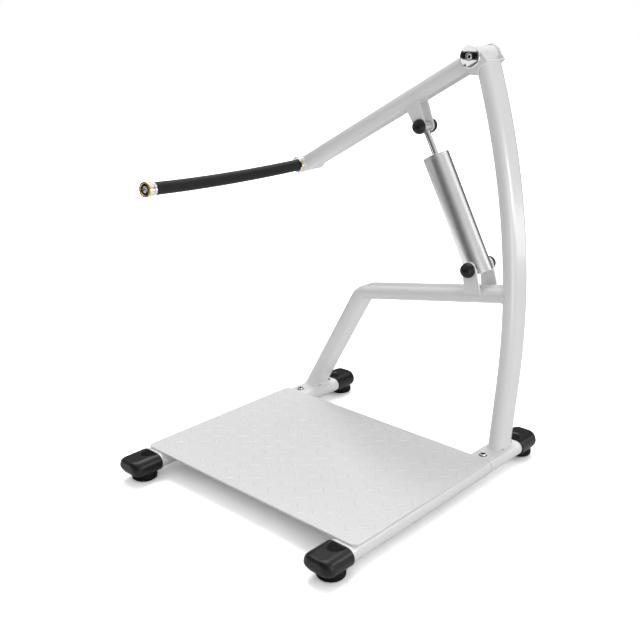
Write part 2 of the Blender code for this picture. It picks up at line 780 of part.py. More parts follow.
def arm_tube(arm):
    """The lever's tube, coped to the barrel at one end and to the handle socket at the other."""
    path = [(Vector((0, 0, 0)), X_AXIS), (Vector((ARM_LENGTH, 0, 0)), X_AXIS)]
    tube = add_piece("arm_tube", oval_tube(path, Y_AXIS), arm, white_powder_coat())
    barrel = BARREL_DIAMETER / 2 + FIT_GAP
    reach = TUBE_WIDTH
    reshape(tube, turned([(barrel, -reach), (barrel, reach)]), matrix=axes_at(Vector(), X_AXIS, Y_AXIS))
    socket = HANDLE_SOCKET_DIAMETER / 2 + FIT_GAP
    return reshape(tube, turned([(socket, -reach), (socket, reach)]), matrix=bar_matrix(0))


def bar_heading(distance):
    """Angle of the handle bar from the arm's square, at a distance along it."""
    return BAR_LEAN - max(0.0, distance - BAR_STRAIGHT) / BAR_RADIUS


def bar_point(distance):
    """A point of the bar's centre line: straight through the socket, then one long arc."""
    straight = min(distance, BAR_STRAIGHT)
    x = ARM_LENGTH + straight * math.sin(BAR_LEAN)
    y = straight * math.cos(BAR_LEAN)
    heading = bar_heading(distance)
    x += BAR_RADIUS * (math.cos(heading) - math.cos(BAR_LEAN))
    y += BAR_RADIUS * (math.sin(BAR_LEAN) - math.sin(heading))
    return Vector((x, y, 0))


def bar_direction(distance):
    heading = bar_heading(distance)
    return Vector((math.sin(heading), math.cos(heading), 0))


def bar_matrix(distance):
    """A frame on the bar with its z along it, away from the arm."""
    return axes_at(bar_point(distance), Z_AXIS, bar_direction(distance))


def bar_path(start, end):
    """Stations from start to end. Those between lie on one grid, so that a sleeve bends where the bar does."""
    count = int((BAR_STRAIGHT + end) / BAR_STATION) + 1
    grid = [BAR_STRAIGHT + BAR_STATION * index for index in range(count)]
    margin = BAR_STATION / 5
    between = [distance for distance in grid if start + margin < distance < end - margin]
    distances = [start, *between, end]
    return [(bar_point(distance), bar_direction(distance)) for distance in distances]


def handle_socket(arm):
    bore = BAR_DIAMETER / 2 + FIT_GAP
    mesh = hollow_turned(HANDLE_SOCKET_DIAMETER / 2, bore, -HALF_TUBE, HALF_TUBE)
    return add_piece("handle_socket", mesh, arm, white_powder_coat(), bar_matrix(0))


def handle_pieces(arm):
    """The bar, its inner collar, the grip, the outer collar and the end cap, each against the one before."""
    collar_start = HALF_TUBE + FIT_GAP
    grip_start = collar_start + COLLAR_LENGTH + FIT_GAP
    end_collar_start = grip_start + GRIP_LENGTH + FIT_GAP
    end_cap_start = end_collar_start + END_COLLAR_LENGTH + FIT_GAP
    bar_radius = BAR_DIAMETER / 2
    bore = bar_radius + FIT_GAP

    outer = circle(bar_radius, BAR_STEPS)
    inner = circle(bar_radius - BAR_WALL, BAR_STEPS)
    bar = swept_tube(bar_path(-HALF_TUBE, end_cap_start - FIT_GAP), Z_AXIS, outer, inner)
    add_piece("handle_bar", bar, arm, polished_chrome())

    neck = COLLAR_NECK_DIAMETER / 2
    rim = COLLAR_DIAMETER / 2
    collar = turned(
        [
            (bore, 0),
            (neck, 0),
            (neck, COLLAR_NECK_LENGTH),
            (rim, COLLAR_NECK_LENGTH + TURNED_EDGE),
            (rim, COLLAR_LENGTH - COLLAR_EDGE),
            (rim - COLLAR_EDGE, COLLAR_LENGTH),
            (bore, COLLAR_LENGTH),
        ],
        closed=True,
    )
    add_piece("grip_collar_inner", collar, arm, gold_tinted_chrome(), bar_matrix(collar_start))

    grip_path = bar_path(grip_start, grip_start + GRIP_LENGTH)
    grip = swept_tube(grip_path, Z_AXIS, circle(GRIP_DIAMETER / 2, BAR_STEPS), circle(bore, BAR_STEPS))
    add_piece("handle_grip", grip, arm, black_grip_foam())

    end_collar = hollow_turned(END_COLLAR_DIAMETER / 2, bore, 0, END_COLLAR_LENGTH)
    add_piece("grip_collar_outer", end_collar, arm, polished_chrome(), bar_matrix(end_collar_start))
    handle_end_cap(arm, end_cap_start)


def handle_end_cap(arm, start):
    """A turned plug with a rounded rim and a dished face, pushed into the bar's end."""
    radius = END_CAP_DIAMETER / 2
    plug = BAR_DIAMETER / 2 - BAR_WALL - END_CAP_PLUG_CLEARANCE
    length = END_CAP_LENGTH
    profile = [(plug, -END_CAP_PLUG), (plug, 0), (radius - TURNED_EDGE, 0), (radius, TURNED_EDGE)]
    profile += rounded_shoulder(radius, length - END_CAP_RIM, radius - END_CAP_RIM, length, EDGE_STEPS)
    profile.append((END_CAP_DISH_DIAMETER / 2, length - END_CAP_DISH_DEPTH))
    return add_piece("handle_end_cap", turned(profile), arm, gold_tinted_chrome(), bar_matrix(start))


# Pins, plates and caps of the cylinder


def pin_matrix(origin):
    return axes_at(origin, X_AXIS, Y_AXIS)


def clevis_pin(name, parent, origin, half_width):
    half = half_width + PIN_SEAT_IN_CAP
    mesh = turned([(PIN_DIAMETER / 2, -half), (PIN_DIAMETER / 2, half)], PIN_STEPS)
    return add_piece(name, mesh, parent, plain_steel(), pin_matrix(origin))


def pin_cap(name, parent, origin, plate_face, side, skirt):
    """A half-round cover on the pin's end, against its plate."""
    seat = PIN_DIAMETER / 2 + FIT_GAP
    profile = [(seat, PIN_SEAT_IN_CAP + FIT_GAP), (seat, FIT_GAP), (PIN_CAP_RADIUS, FIT_GAP)]
    profile += rounded_shoulder(PIN_CAP_RADIUS, skirt, PIN_CAP_FACE_RADIUS, skirt + PIN_CAP_RADIUS, DOME_STEPS)
    place = axes_at(origin + Y_AXIS * side * plate_face, X_AXIS, Y_AXIS * side)
    return add_piece(name, turned(profile, PIN_STEPS), parent, black_cap_plastic(), place)


def lower_clevis(machine):
    """Two lugs on the brace's sides with the pin that the cylinder's foot hangs on."""
    centre_line = Vector((BRACE_KNEE_X, UPRIGHT_PLANE_Y, run_height(BRACE_KNEE_X)))
    pin_height = (LOWER_PIN - centre_line).dot(RUN_UPWARD)
    drop = pin_height - TUBE_DEPTH / 2 + LOWER_PLATE_OVERLAP
    outline = lug_outline(LOWER_PLATE_RADIUS, LOWER_PLATE_BEHIND, LOWER_PLATE_AHEAD, drop)
    place = axes_at(LOWER_PIN, RUN_DIRECTION, -Y_AXIS)
    for end, side in (("front", -1), ("rear", 1)):
        start, stop = sorted((-side * LOWER_PLATE_INNER, -side * LOWER_PLATE_OUTER))
        plate = add_piece(
            f"lower_clevis_plate_{end}", prism(outline, start, stop), machine, white_powder_coat(), place
        )
        reshape(plate, oval_cutter(brace_path(), Y_AXIS))
        cut_round_hole(plate, PIN_DIAMETER + 2 * FIT_GAP, place, -TUBE_WIDTH, TUBE_WIDTH)
        pin_cap(f"lower_pin_cap_{end}", machine, LOWER_PIN, LOWER_PLATE_OUTER, side, LOWER_CAP_SKIRT)
    return clevis_pin("lower_pin", machine, LOWER_PIN, LOWER_PLATE_OUTER)


def upper_clevis(arm):
    """Two lugs under the arm with the pin that the rod's eye turns on."""
    pin = Vector((UPPER_PIN_ALONG_ARM, 0, -UPPER_PIN_BELOW_ARM))
    drop = UPPER_PIN_BELOW_ARM - TUBE_DEPTH / 2 - FIT_GAP
    outline = lug_outline(UPPER_PLATE_RADIUS, UPPER_PLATE_OUTBOARD, UPPER_PLATE_INBOARD, drop)
    place = axes_at(pin, -X_AXIS, -Y_AXIS)
    for end, side in (("front", 1), ("rear", -1)):
        start, stop = sorted((-side * UPPER_PLATE_INNER, -side * UPPER_PLATE_OUTER))
        plate = add_piece(
            f"upper_clevis_plate_{end}", prism(outline, start, stop), arm, white_powder_coat(), place
        )
        cut_round_hole(plate, PIN_DIAMETER + 2 * FIT_GAP, place, -TUBE_WIDTH, TUBE_WIDTH)
        pin_cap(f"upper_pin_cap_{end}", arm, pin, UPPER_PLATE_OUTER, side, UPPER_CAP_SKIRT)
    return clevis_pin("upper_pin", arm, pin, UPPER_PLATE_OUTER)


# Rod and piston. Their frame is at the upper pin, with +Z up along the cylinder and +Y to the back.


def rod_eye(rod):
    half = UPPER_PLATE_INNER - FIT_GAP
    across = pin_matrix(Vector())
    eye = turned([(ROD_EYE_RADIUS, -half), (ROD_EYE_RADIUS, half)])
    piece = add_piece("rod_eye", eye, rod, plain_steel(), across)
    shank = turned([(ROD_EYE_SHANK / 2, -ROD_EYE_REACH), (ROD_EYE_SHANK / 2, 0)], PIN_STEPS)
    reshape(piece, shank, "UNION")
    bush_seat = PIN_DIAMETER + 2 * (ROD_BUSH_WALL + 2 * FIT_GAP)
    cut_round_hole(piece, bush_seat, across, -TUBE_WIDTH, TUBE_WIDTH)
    rod_seat = ROD_DIAMETER + 2 * FIT_GAP
    return cut_round_hole(piece, rod_seat, Matrix(), -2 * ROD_EYE_REACH, rod_top() + FIT_GAP)


def rod_top():
    """Top of the rod, under the bore of its eye."""
    return -(PIN_DIAMETER / 2 + ROD_BUSH_WALL + 2 * FIT_GAP + ROD_TO_BUSH)


def rod_bush(rod):
    inner = PIN_DIAMETER / 2 + FIT_GAP
    half = UPPER_PLATE_INNER - FIT_GAP
    mesh = hollow_turned(inner + ROD_BUSH_WALL, inner, -half, half, PIN_STEPS)
    return add_piece("rod_bush", mesh, rod, bronze_bush(), pin_matrix(Vector()))


def piston_rod(rod):
    mesh = turned([(ROD_DIAMETER / 2, -ROD_LENGTH), (ROD_DIAMETER / 2, rod_top())], PIN_STEPS)
    return add_piece("piston_rod", mesh, rod, polished_chrome())


def piston(rod):
    """A grooved piston on the rod's end and the seal in its groove."""
    outer = CYLINDER_BORE / 2 - PISTON_CLEARANCE
    bore = ROD_DIAMETER / 2 + FIT_GAP
    floor = outer - PISTON_RING_DEPTH
    bottom = -ROD_LENGTH
    top = bottom + PISTON_LENGTH
    groove_low = (bottom + top - PISTON_RING_WIDTH) / 2
    groove_high = groove_low + PISTON_RING_WIDTH
    mesh = turned(
        [
            (bore, bottom),
            (outer, bottom),
            (outer, groove_low),
            (floor, groove_low),
            (floor, groove_high),
            (outer, groove_high),
            (outer, top),
            (bore, top),
        ],
        closed=True,
    )
    add_piece("piston", mesh, rod, brushed_aluminium())
    ring = hollow_turned(
        CYLINDER_BORE / 2 - FIT_GAP, floor + FIT_GAP, groove_low + FIT_GAP, groove_high - FIT_GAP
    )
    return add_piece("piston_seal", ring, rod, seal_rubber())


# Cylinder. Its frame is at the lower pin, with +Z up along the cylinder and +Y to the back.


def slot_cutter():
    """Room for the lower pin, which stands still while the cylinder follows the rod."""
    return prism(flat_oval(SLOT_LENGTH, SLOT_HEIGHT), -CYLINDER_DIAMETER, CYLINDER_DIAMETER)


def cylinder_tube(cylinder):
    start = -CYLINDER_BELOW_PIN + CYLINDER_FLANGE / 2 + FIT_GAP
    end = CYLINDER_ABOVE_PIN - CYLINDER_FLANGE - FIT_GAP
    mesh = hollow_turned(CYLINDER_DIAMETER / 2, CYLINDER_BORE / 2, start, end, CYLINDER_STEPS)
    tube = add_piece("cylinder_tube", mesh, cylinder, brushed_aluminium())
    return reshape(tube, slot_cutter(), matrix=side_view(Vector()))


def cylinder_base(cylinder):
    """The plug that closes the cylinder's foot and carries the slot for the pin."""
    outer = CYLINDER_DIAMETER / 2
    plug = CYLINDER_BORE / 2 - FIT_GAP
    bottom = -CYLINDER_BELOW_PIN
    mesh = turned(
        [
            (outer - TURNED_EDGE, bottom),
            (outer, bottom + TURNED_EDGE),
            (outer, bottom + CYLINDER_FLANGE / 2),
            (plug, bottom + CYLINDER_FLANGE / 2),
            (plug, CYLINDER_PLUG_DEPTH),
        ],
        CYLINDER_STEPS,
    )
    base = add_piece("cylinder_base", mesh, cylinder, brushed_aluminium())
    return reshape(base, slot_cutter(), matrix=side_view(Vector()))


def cylinder_gland(cylinder):
    """The head that guides the rod, and the wiper let into its face."""
    outer = CYLINDER_DIAMETER / 2
    plug = CYLINDER_BORE / 2 - FIT_GAP
    bore = ROD_DIAMETER / 2 + FIT_GAP
    seat = WIPER_DIAMETER / 2 + FIT_GAP
    top = CYLINDER_ABOVE_PIN
    mesh = turned(
        [
            (bore, top - CYLINDER_FLANGE - CYLINDER_PLUG_DEPTH),
            (plug, top - CYLINDER_FLANGE - CYLINDER_PLUG_DEPTH),
            (plug, top - CYLINDER_FLANGE),
            (outer, top - CYLINDER_FLANGE),
            (outer, top - TURNED_EDGE),
            (outer - TURNED_EDGE, top),
            (seat, top),
            (seat, top - WIPER_DEPTH),
            (bore, top - WIPER_DEPTH),
        ],
        CYLINDER_STEPS,
        closed=True,
    )
    add_piece("cylinder_gland", mesh, cylinder, brushed_aluminium())
    wiper = hollow_turned(WIPER_DIAMETER / 2, bore, top - WIPER_DEPTH + FIT_GAP, top - FIT_GAP, PIN_STEPS)
    return add_piece("rod_wiper", wiper, cylinder, seal_rubber())


# Assembly


def clear_scene():
    for item in list(bpy.data.objects):
        bpy.data.objects.remove(item)


def centre_on_footprint(machine):
    """Moves the machine so that the origin is under the middle of its bounding box, on the floor."""
    bpy.context.view_layer.update()
    graph = bpy.context.evaluated_depsgraph_get()
    corners = []
    for piece in bpy.context.scene.objects:
        if piece.type == "MESH" and not piece.hide_render:
            evaluated = piece.evaluated_get(graph)
            corners += [evaluated.matrix_world @ vertex.co for vertex in evaluated.data.vertices]
    low = [min(corner[axis] for corner in corners) for axis in range(3)]
    high = [max(corner[axis] for corner in corners) for axis in range(3)]
    machine.location = (-(low[0] + high[0]) / 2, -(low[1] + high[1]) / 2, -low[2])


def build():
    clear_scene()
    machine = add_empty("shoulder_machine")
    for side, x in (("left", 0), ("right", FOOT_SPACING_X)):
        runner(side, machine, x)
    platform_plate(machine)
    for index in range(CROSS_MEMBER_COUNT):
        cross_member(index, machine)
    post_tube(machine)
    brace_tube(machine)
    pivot_bracket(machine)
    axle(machine)
    axle_cap("axle_cap_front", machine, -1)
    axle_cap("axle_cap_rear", machine, 1)
    lower_clevis(machine)

    arm_pivot = add_empty("arm_pivot", machine, axes_at(PIVOT, ARM_DIRECTION, ARM_UPWARD))
    pivot_barrel(arm_pivot)
    pivot_bearing("pivot_bearing_front", arm_pivot, 1)
    pivot_bearing("pivot_bearing_rear", arm_pivot, -1)
    arm_tube(arm_pivot)
    upper_clevis(arm_pivot)
    handle_socket(arm_pivot)
    handle_pieces(arm_pivot)

    cylinder_side = Y_AXIS.cross(CYLINDER_DIRECTION)
    rod_pivot = add_empty("rod_pivot", machine, axes_at(UPPER_PIN, cylinder_side, CYLINDER_DIRECTION))
    rod_eye(rod_pivot)
    rod_bush(rod_pivot)
    piston_rod(rod_pivot)
    piston(rod_pivot)

    cylinder_slide = add_empty(
        "cylinder_slide", machine, axes_at(LOWER_PIN, cylinder_side, CYLINDER_DIRECTION)
    )
    cylinder_tube(cylinder_slide)
    cylinder_base(cylinder_slide)
    cylinder_gland(cylinder_slide)
    centre_on_footprint(machine)


build()
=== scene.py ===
"""Looks of the shoulder machine.

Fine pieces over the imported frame, their materials, the light and the camera.
"""

import json
from math import acos, atan2, copysign, cos, hypot, pi, radians, sin, sqrt, tan, tau

import bmesh
import bpy
from mathutils import Matrix, Vector

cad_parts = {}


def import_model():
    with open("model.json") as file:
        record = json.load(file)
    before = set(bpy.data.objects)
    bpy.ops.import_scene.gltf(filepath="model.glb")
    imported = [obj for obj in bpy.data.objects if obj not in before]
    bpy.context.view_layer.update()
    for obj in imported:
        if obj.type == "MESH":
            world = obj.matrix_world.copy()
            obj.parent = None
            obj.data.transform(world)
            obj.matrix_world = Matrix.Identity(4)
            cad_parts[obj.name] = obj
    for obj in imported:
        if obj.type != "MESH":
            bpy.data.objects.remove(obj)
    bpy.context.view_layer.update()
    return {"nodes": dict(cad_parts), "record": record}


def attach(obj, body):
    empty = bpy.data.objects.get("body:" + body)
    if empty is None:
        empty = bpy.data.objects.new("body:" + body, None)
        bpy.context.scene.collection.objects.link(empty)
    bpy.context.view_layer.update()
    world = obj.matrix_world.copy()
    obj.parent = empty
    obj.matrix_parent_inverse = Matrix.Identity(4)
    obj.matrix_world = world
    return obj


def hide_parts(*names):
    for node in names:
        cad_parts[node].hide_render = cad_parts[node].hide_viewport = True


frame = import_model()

# Sizes are in metres. They follow the CAD's, apart from the foot caps' tighter edge radius. They are drawn
# from the floor under the front left foot, and ORIGIN moves them to the frame's own origin, the centre of
# the footprint.

ORIGIN = Vector((-0.318752, -0.3865, 0))

TUBE_WIDTH = 0.080
TUBE_DEPTH = 0.040
HALF_TUBE = TUBE_WIDTH / 2
GAP = 0.0003

FOOT_SPACING_X = 0.665
FOOT_SPACING_Y = 0.795
PAD_DIAMETER = 0.068
PAD_HEIGHT = 0.0184
CAP_LENGTH = 0.086
CAP_WALL = 0.003
CAP_PLAN_RADIUS = 0.022
CAP_EDGE_RADIUS = 0.009
CAP_KEEL_RADIUS = 0.034
CAP_KEEL_RISE = 0.020
CAP_RIM = 0.0014
CAP_RIM_LOSS = 0.0012
CAP_DIVISIONS = (20, 14)
BOSS_RADIUS = 0.0325
BOSS_TOP_RADIUS = 0.0315
BOSS_TOP_Z = 0.032
RECESS_HALF_WIDTH = 0.023
RECESS_REACH = 0.034
RECESS_DEPTH = 0.0018
RECESS_START = 0.004
RECESS_PAD_SHARE = 0.88
FRONT_RIM_Y = 0.030
REAR_RIM_Y = 0.741
RUNNER_Z = PAD_HEIGHT + CAP_WALL + TUBE_DEPTH / 2 + 2 * GAP
RUNNER_TOP_Z = RUNNER_Z + TUBE_DEPTH / 2
SEAM_Y = 0.589
SEAM_SETBACK = 0.0005
SEAM_BOLT_Y = 0.606
# The seam's dark strip is painted shade of the gap between runner and stub.
SEAM_SHADE_INSET = 0.0040
SEAM_SHADE_OVERLAP = 0.0005
RIM_OVERLAP = 0.004
VENT_PLUG_OFFSET_X = 0.0185
VENT_PLUG_Y = 0.671
RIM_SCREW_OFFSET_X = 0.0108
RIM_SCREW_Y = 0.7255

PLATFORM_LEFT = -0.035
PLATFORM_RIGHT = 0.700
PLATFORM_FRONT = 0.041
PLATFORM_BACK = 0.584
PLATFORM_THICKNESS = 0.005
PLATFORM_CORNER = 0.018
PLATFORM_TOP_Z = RUNNER_TOP_Z + GAP + PLATFORM_THICKNESS

UPRIGHT_Y = 0.690
POST_RADIUS = 1.962
POST_PLUMB_X = 0.6802
POST_PLUMB_Z = 0.380
POST_STRAIGHT_TO_Z = 0.250

BRACE_FOOT_X = -0.0087
LEG_ANGLE = radians(60.4)
RUN_ANGLE = radians(10.24)
KNEE_X = 0.1848
BEND_RADIUS = 0.045

PIVOT = Vector((0.5377, UPRIGHT_Y, 1.073))
BARREL_RADIUS = 0.0255
BARREL_BORE_RADIUS = 0.0213
CHEEK_INNER = HALF_TUBE + GAP
CHEEK_THICKNESS = 0.004
CHEEK_OUTER = CHEEK_INNER + CHEEK_THICKNESS
CHEEK_RADIUS = 0.0275
CHEEK_TIP = (0.042, -0.005)
CHEEK_WAIST = (0.0245, -0.0265)
CHEEK_HEEL = (0.0215, -0.043)
CHEEK_TOE = (0.000, -0.043)
WEB_SLOPE = radians(37.2)
WEB_LENGTH = 0.054
WEB_SETBACK = 0.0004
AXLE_CAP_RADIUS = 0.0285
AXLE_CAP_DEPTH = 0.010
AXLE_CAP_CROWN = 0.180

ARM_DROP = radians(29.1)
ARM_LENGTH = 0.6567
SOCKET_RADIUS = 0.0225

BAR_RADIUS = 0.014
BAR_LEAN = radians(7.1)
BAR_STRAIGHT = 0.045
BAR_ARC = 1.977
GRIP_RADIUS = 0.0167
GRIP_ROLL = 0.0024
COLLAR_START = HALF_TUBE + GAP
COLLAR_LENGTH = 0.010
GRIP_START = COLLAR_START + COLLAR_LENGTH + GAP
GRIP_LENGTH = 0.533
END_COLLAR_START = GRIP_START + GRIP_LENGTH + GAP
END_COLLAR_LENGTH = 0.008
END_CAP_START = END_COLLAR_START + END_COLLAR_LENGTH + GAP
END_CAP_RADIUS = 0.020
END_CAP_LENGTH = 0.020

LOWER_PIN = Vector((0.564, UPRIGHT_Y, 0.544))
UPPER_PIN_ALONG = 0.2286
UPPER_PIN_BELOW = 0.0799
PIN_RADIUS = 0.006
PIN_CAP_RADIUS = 0.020
SLOT_LENGTH = 0.036
SLOT_HEIGHT = 0.016
LOWER_PLATE_INNER = 0.038
LOWER_PLATE_OUTER = 0.044
UPPER_PLATE_INNER = 0.016
UPPER_PLATE_OUTER = 0.022
CYLINDER_RADIUS = 0.035
CYLINDER_BORE_RADIUS = 0.031
CYLINDER_BOTTOM = -0.019
CYLINDER_TOP = 0.3126
CYLINDER_FLANGE = 0.008
ROD_RADIUS = 0.008
ROD_LENGTH = 0.330
EYE_RADIUS = 0.0125
BUSH_RADIUS = 0.0086

FRAME_WELD = 0.0024
BARREL_WELD = 0.0020
SOCKET_WELD = 0.0018
PLATE_WELD = 0.0016

X_AXIS = Vector((1, 0, 0))
Y_AXIS = Vector((0, 1, 0))
Z_AXIS = Vector((0, 0, 1))

ARM_DIRECTION = Vector((-cos(ARM_DROP), 0, -sin(ARM_DROP)))
ARM_UPWARD = Vector((-sin(ARM_DROP), 0, cos(ARM_DROP)))
UPPER_PIN = PIVOT + ARM_DIRECTION * UPPER_PIN_ALONG - ARM_UPWARD * UPPER_PIN_BELOW
CYLINDER_DIRECTION = (UPPER_PIN - LOWER_PIN).normalized()
RUN_DIRECTION = Vector((cos(RUN_ANGLE), 0, sin(RUN_ANGLE)))
RUN_UPWARD = Vector((-sin(RUN_ANGLE), 0, cos(RUN_ANGLE)))
LEG_DIRECTION = Vector((cos(LEG_ANGLE), 0, sin(LEG_ANGLE)))
WEB_DIRECTION = (-cos(WEB_SLOPE), -sin(WEB_SLOPE))
WEB_DOWNWARD = (sin(WEB_SLOPE), -cos(WEB_SLOPE))


# Materials

WHITE = "white_powder_coat"
PLATE = "grey_tread_plate"
PLASTIC = "black_cap_plastic"
RIBBED = "ribbed_cap_plastic"
RUBBER = "black_rubber"
FOAM = "black_grip_foam"
CHROME = "polished_chrome"
GOLD = "gold_tinted_chrome"
BRUSHED = "brushed_aluminium"
STEEL = "plain_steel"
COAT_ROUGHNESS = 0.1
FINISHES = {}


def surface(
    name, colour, roughness, metallic=0.0, grain=900, relief=0.0, spread=0.05, tint=0.02,
    stretch=(1, 1, 1), coat=0.0, specular=0.5,
):
    """A Principled material with grain in its normal, and slow variation in its colour and roughness."""
    material = bpy.data.materials.new(name)
    material.use_nodes = True
    nodes = material.node_tree.nodes
    links = material.node_tree.links
    shader = nodes["Principled BSDF"]
    shader.inputs["Metallic"].default_value = metallic
    shader.inputs["Specular IOR Level"].default_value = specular
    shader.inputs["Coat Weight"].default_value = coat
    shader.inputs["Coat Roughness"].default_value = COAT_ROUGHNESS

    place = nodes.new("ShaderNodeTexCoord")
    mapping = nodes.new("ShaderNodeMapping")
    mapping.inputs["Scale"].default_value = stretch
    links.new(place.outputs["Object"], mapping.inputs["Vector"])

    def noise(scale, detail):
        made = nodes.new("ShaderNodeTexNoise")
        made.inputs["Scale"].default_value = scale
        made.inputs["Detail"].default_value = detail
        links.new(mapping.outputs["Vector"], made.inputs["Vector"])
        return made

    slow = noise(9, 3)
    shade = nodes.new("ShaderNodeMix")
    shade.data_type = "RGBA"
    darker = [channel * (1 - tint) for channel in colour]
    lighter = [min(1, channel * (1 + tint)) for channel in colour]
    shade.inputs["A"].default_value = (*darker, 1)
    shade.inputs["B"].default_value = (*lighter, 1)
    links.new(slow.outputs["Fac"], shade.inputs["Factor"])
    links.new(shade.outputs["Result"], shader.inputs["Base Color"])

    fine = noise(grain, 2)
    polish = nodes.new("ShaderNodeMapRange")
    polish.inputs["To Min"].default_value = max(0.0, roughness - spread)
    polish.inputs["To Max"].default_value = roughness + spread
    links.new(fine.outputs["Fac"], polish.inputs["Value"])
    links.new(polish.outputs["Result"], shader.inputs["Roughness"])

    if relief:
        bump = nodes.new("ShaderNodeBump")
        bump.inputs["Strength"].default_value = 1.0
        bump.inputs["Distance"].default_value = relief
        links.new(fine.outputs["Fac"], bump.inputs["Height"])
        links.new(bump.outputs["Normal"], shader.inputs["Normal"])
    FINISHES[name] = material


surface(WHITE, (0.885, 0.885, 0.89), 0.30, grain=700, relief=0.00004, coat=0.30)
surface(PLATE, (0.835, 0.838, 0.84), 0.36, grain=600, relief=0.00005, coat=0.15)
surface(
    PLASTIC, (0.011, 0.011, 0.0115), 0.32, grain=1500, relief=0.00009, spread=0.06,
    specular=0.26,
)
surface(
    RIBBED, (0.020, 0.020, 0.0205), 0.45, grain=1200, relief=0.00012, spread=0.08,
    specular=0.22,
)
surface(
    RUBBER, (0.008, 0.008, 0.0085), 0.62, grain=900, relief=0.00012, spread=0.08,
    specular=0.12,
)
surface(
    FOAM, (0.012, 0.012, 0.0125), 0.50, grain=1300, relief=0.00018, spread=0.10,
    specular=0.20,
)
surface(CHROME, (0.82, 0.82, 0.83), 0.07, 1.0, grain=300, spread=0.025, tint=0.01)
surface(GOLD, (0.86, 0.66, 0.26), 0.12, 1.0, grain=300, spread=0.03, tint=0.03)
surface(
    BRUSHED, (0.90, 0.905, 0.91), 0.30, 1.0, grain=260, relief=0.00001, spread=0.07,
    stretch=(8, 8, 0.25),
)
surface(STEEL, (0.50, 0.50, 0.51), 0.34, 1.0, grain=500, relief=0.00002, spread=0.08)
surface("bronze_bush", (0.62, 0.46, 0.24), 0.36, 1.0, grain=500, relief=0.00002, spread=0.08)
surface("seal_rubber", (0.02, 0.02, 0.02), 0.50, grain=900, relief=0.00005)


# Outlines and profiles


def oval(width, depth, steps=20, cells=1):
    """A flat-oval section with half-round sides, its width along x; cells divide its flats."""
    radius = depth / 2
    reach = width / 2 - radius
    points = []
    for side in (1, -1):
        for step in range(steps + 1):
            angle = pi * (step / steps - 0.5)
            points.append((side * (reach + radius * cos(angle)), side * radius * sin(angle)))
        for cell in range(cells + 1):
            along = 0.94 - 1.88 * cell / cells
            points.append((side * reach * along, side * radius))
    return points


def circle(radius, steps=64):
    return [
        (radius * cos(tau * step / steps), radius * sin(tau * step / steps))
        for step in range(steps)
    ]


def arc(centre, radius, start, end, steps):
    return [
        (
            centre[0] + radius * cos(start + (end - start) * step / steps),
            centre[1] + radius * sin(start + (end - start) * step / steps),
        )
        for step in range(steps + 1)
    ]


def tangent_angle(point, radius, turn):
    distance = hypot(*point)
    return atan2(point[1], point[0]) + turn * acos(radius / distance)


def rounded_rectangle(width, depth, radius, steps=8):
    points = []
    for quarter, (x_side, y_side) in enumerate(((1, 1), (-1, 1), (-1, -1), (1, -1))):
        centre = (x_side * (width / 2 - radius), y_side * (depth / 2 - radius))
        start = quarter * pi / 2
        points += arc(centre, radius, start, start + pi / 2, steps)
    return points


def lug_outline(radius, behind, ahead, drop):
    """An eye about the origin on two straight sides that run down to a flat foot."""
    start = tangent_angle((ahead, -drop), radius, 1)
    end = tangent_angle((-behind, -drop), radius, -1) + tau
    return [(-behind, -drop), (ahead, -drop)] + arc((0, 0), radius, start, end, 32)


def eased(profile, radius, closed=False, steps=4):
    """The profile with its corners rounded."""
    count = len(profile)
    points = []
    for index, point in enumerate(profile):
        if not closed and index in (0, count - 1):
            points.append(point)
            continue
        here = Vector(point)
        before = Vector(profile[index - 1])
        after = Vector(profile[(index + 1) % count])
        back = before - here
        forth = after - here
        cut = min(radius, 0.45 * back.length, 0.45 * forth.length)
        first = here + back.normalized() * cut
        last = here + forth.normalized() * cut
        for step in range(steps + 1):
            t = step / steps
            blend = first * (1 - t) ** 2 + here * 2 * t * (1 - t) + last * t**2
            points.append(tuple(blend))
    return points


# Meshes


def bridge(mesh, lower, upper):
    for index in range(len(lower)):
        after = (index + 1) % len(lower)
        mesh.faces.new((lower[index], lower[after], upper[after], upper[index]))


def loft(rings, closed=False):
    mesh = bmesh.new()
    loops = [[mesh.verts.new(point) for point in ring] for ring in rings]
    pairs = list(zip(loops, loops[1:]))
    if closed:
        pairs.append((loops[-1], loops[0]))
    for lower, upper in pairs:
        bridge(mesh, lower, upper)
    if not closed:
        mesh.faces.new(loops[0])
        mesh.faces.new(loops[-1])
    return mesh


def prism(outline, start, end):
    return loft([[(x, y, height) for x, y in outline] for height in (start, end)])


def lathe(profile, steps=64, closed=False, ease=0.0005):
    """A profile of (radius, height) turned about z, with its corners eased."""
    smooth = eased(profile, ease, closed) if ease else profile
    rings = [[(x, y, height) for x, y in circle(max(radius, 1e-5), steps)] for radius, height in smooth]
    return loft(rings, closed)


def plain_round(radius, start, end, steps):
    return lathe([(radius, start), (radius, end)], steps, ease=0)


def sleeve(outer, inner, start, end, steps, ease):
    return lathe([(outer, start), (outer, end), (inner, end), (inner, start)], steps, True, ease)


def section_at(point, direction, across, outline):
    upright = direction.cross(across).normalized()
    return [point + across * x + upright * y for x, y in outline]


def section_along(path, across, outline):
    return [section_at(point, direction, across, outline) for point, direction in path]


def tube_along(path, across, width=TUBE_WIDTH, depth=TUBE_DEPTH):
    return loft(section_along(path, across, oval(width, depth)))


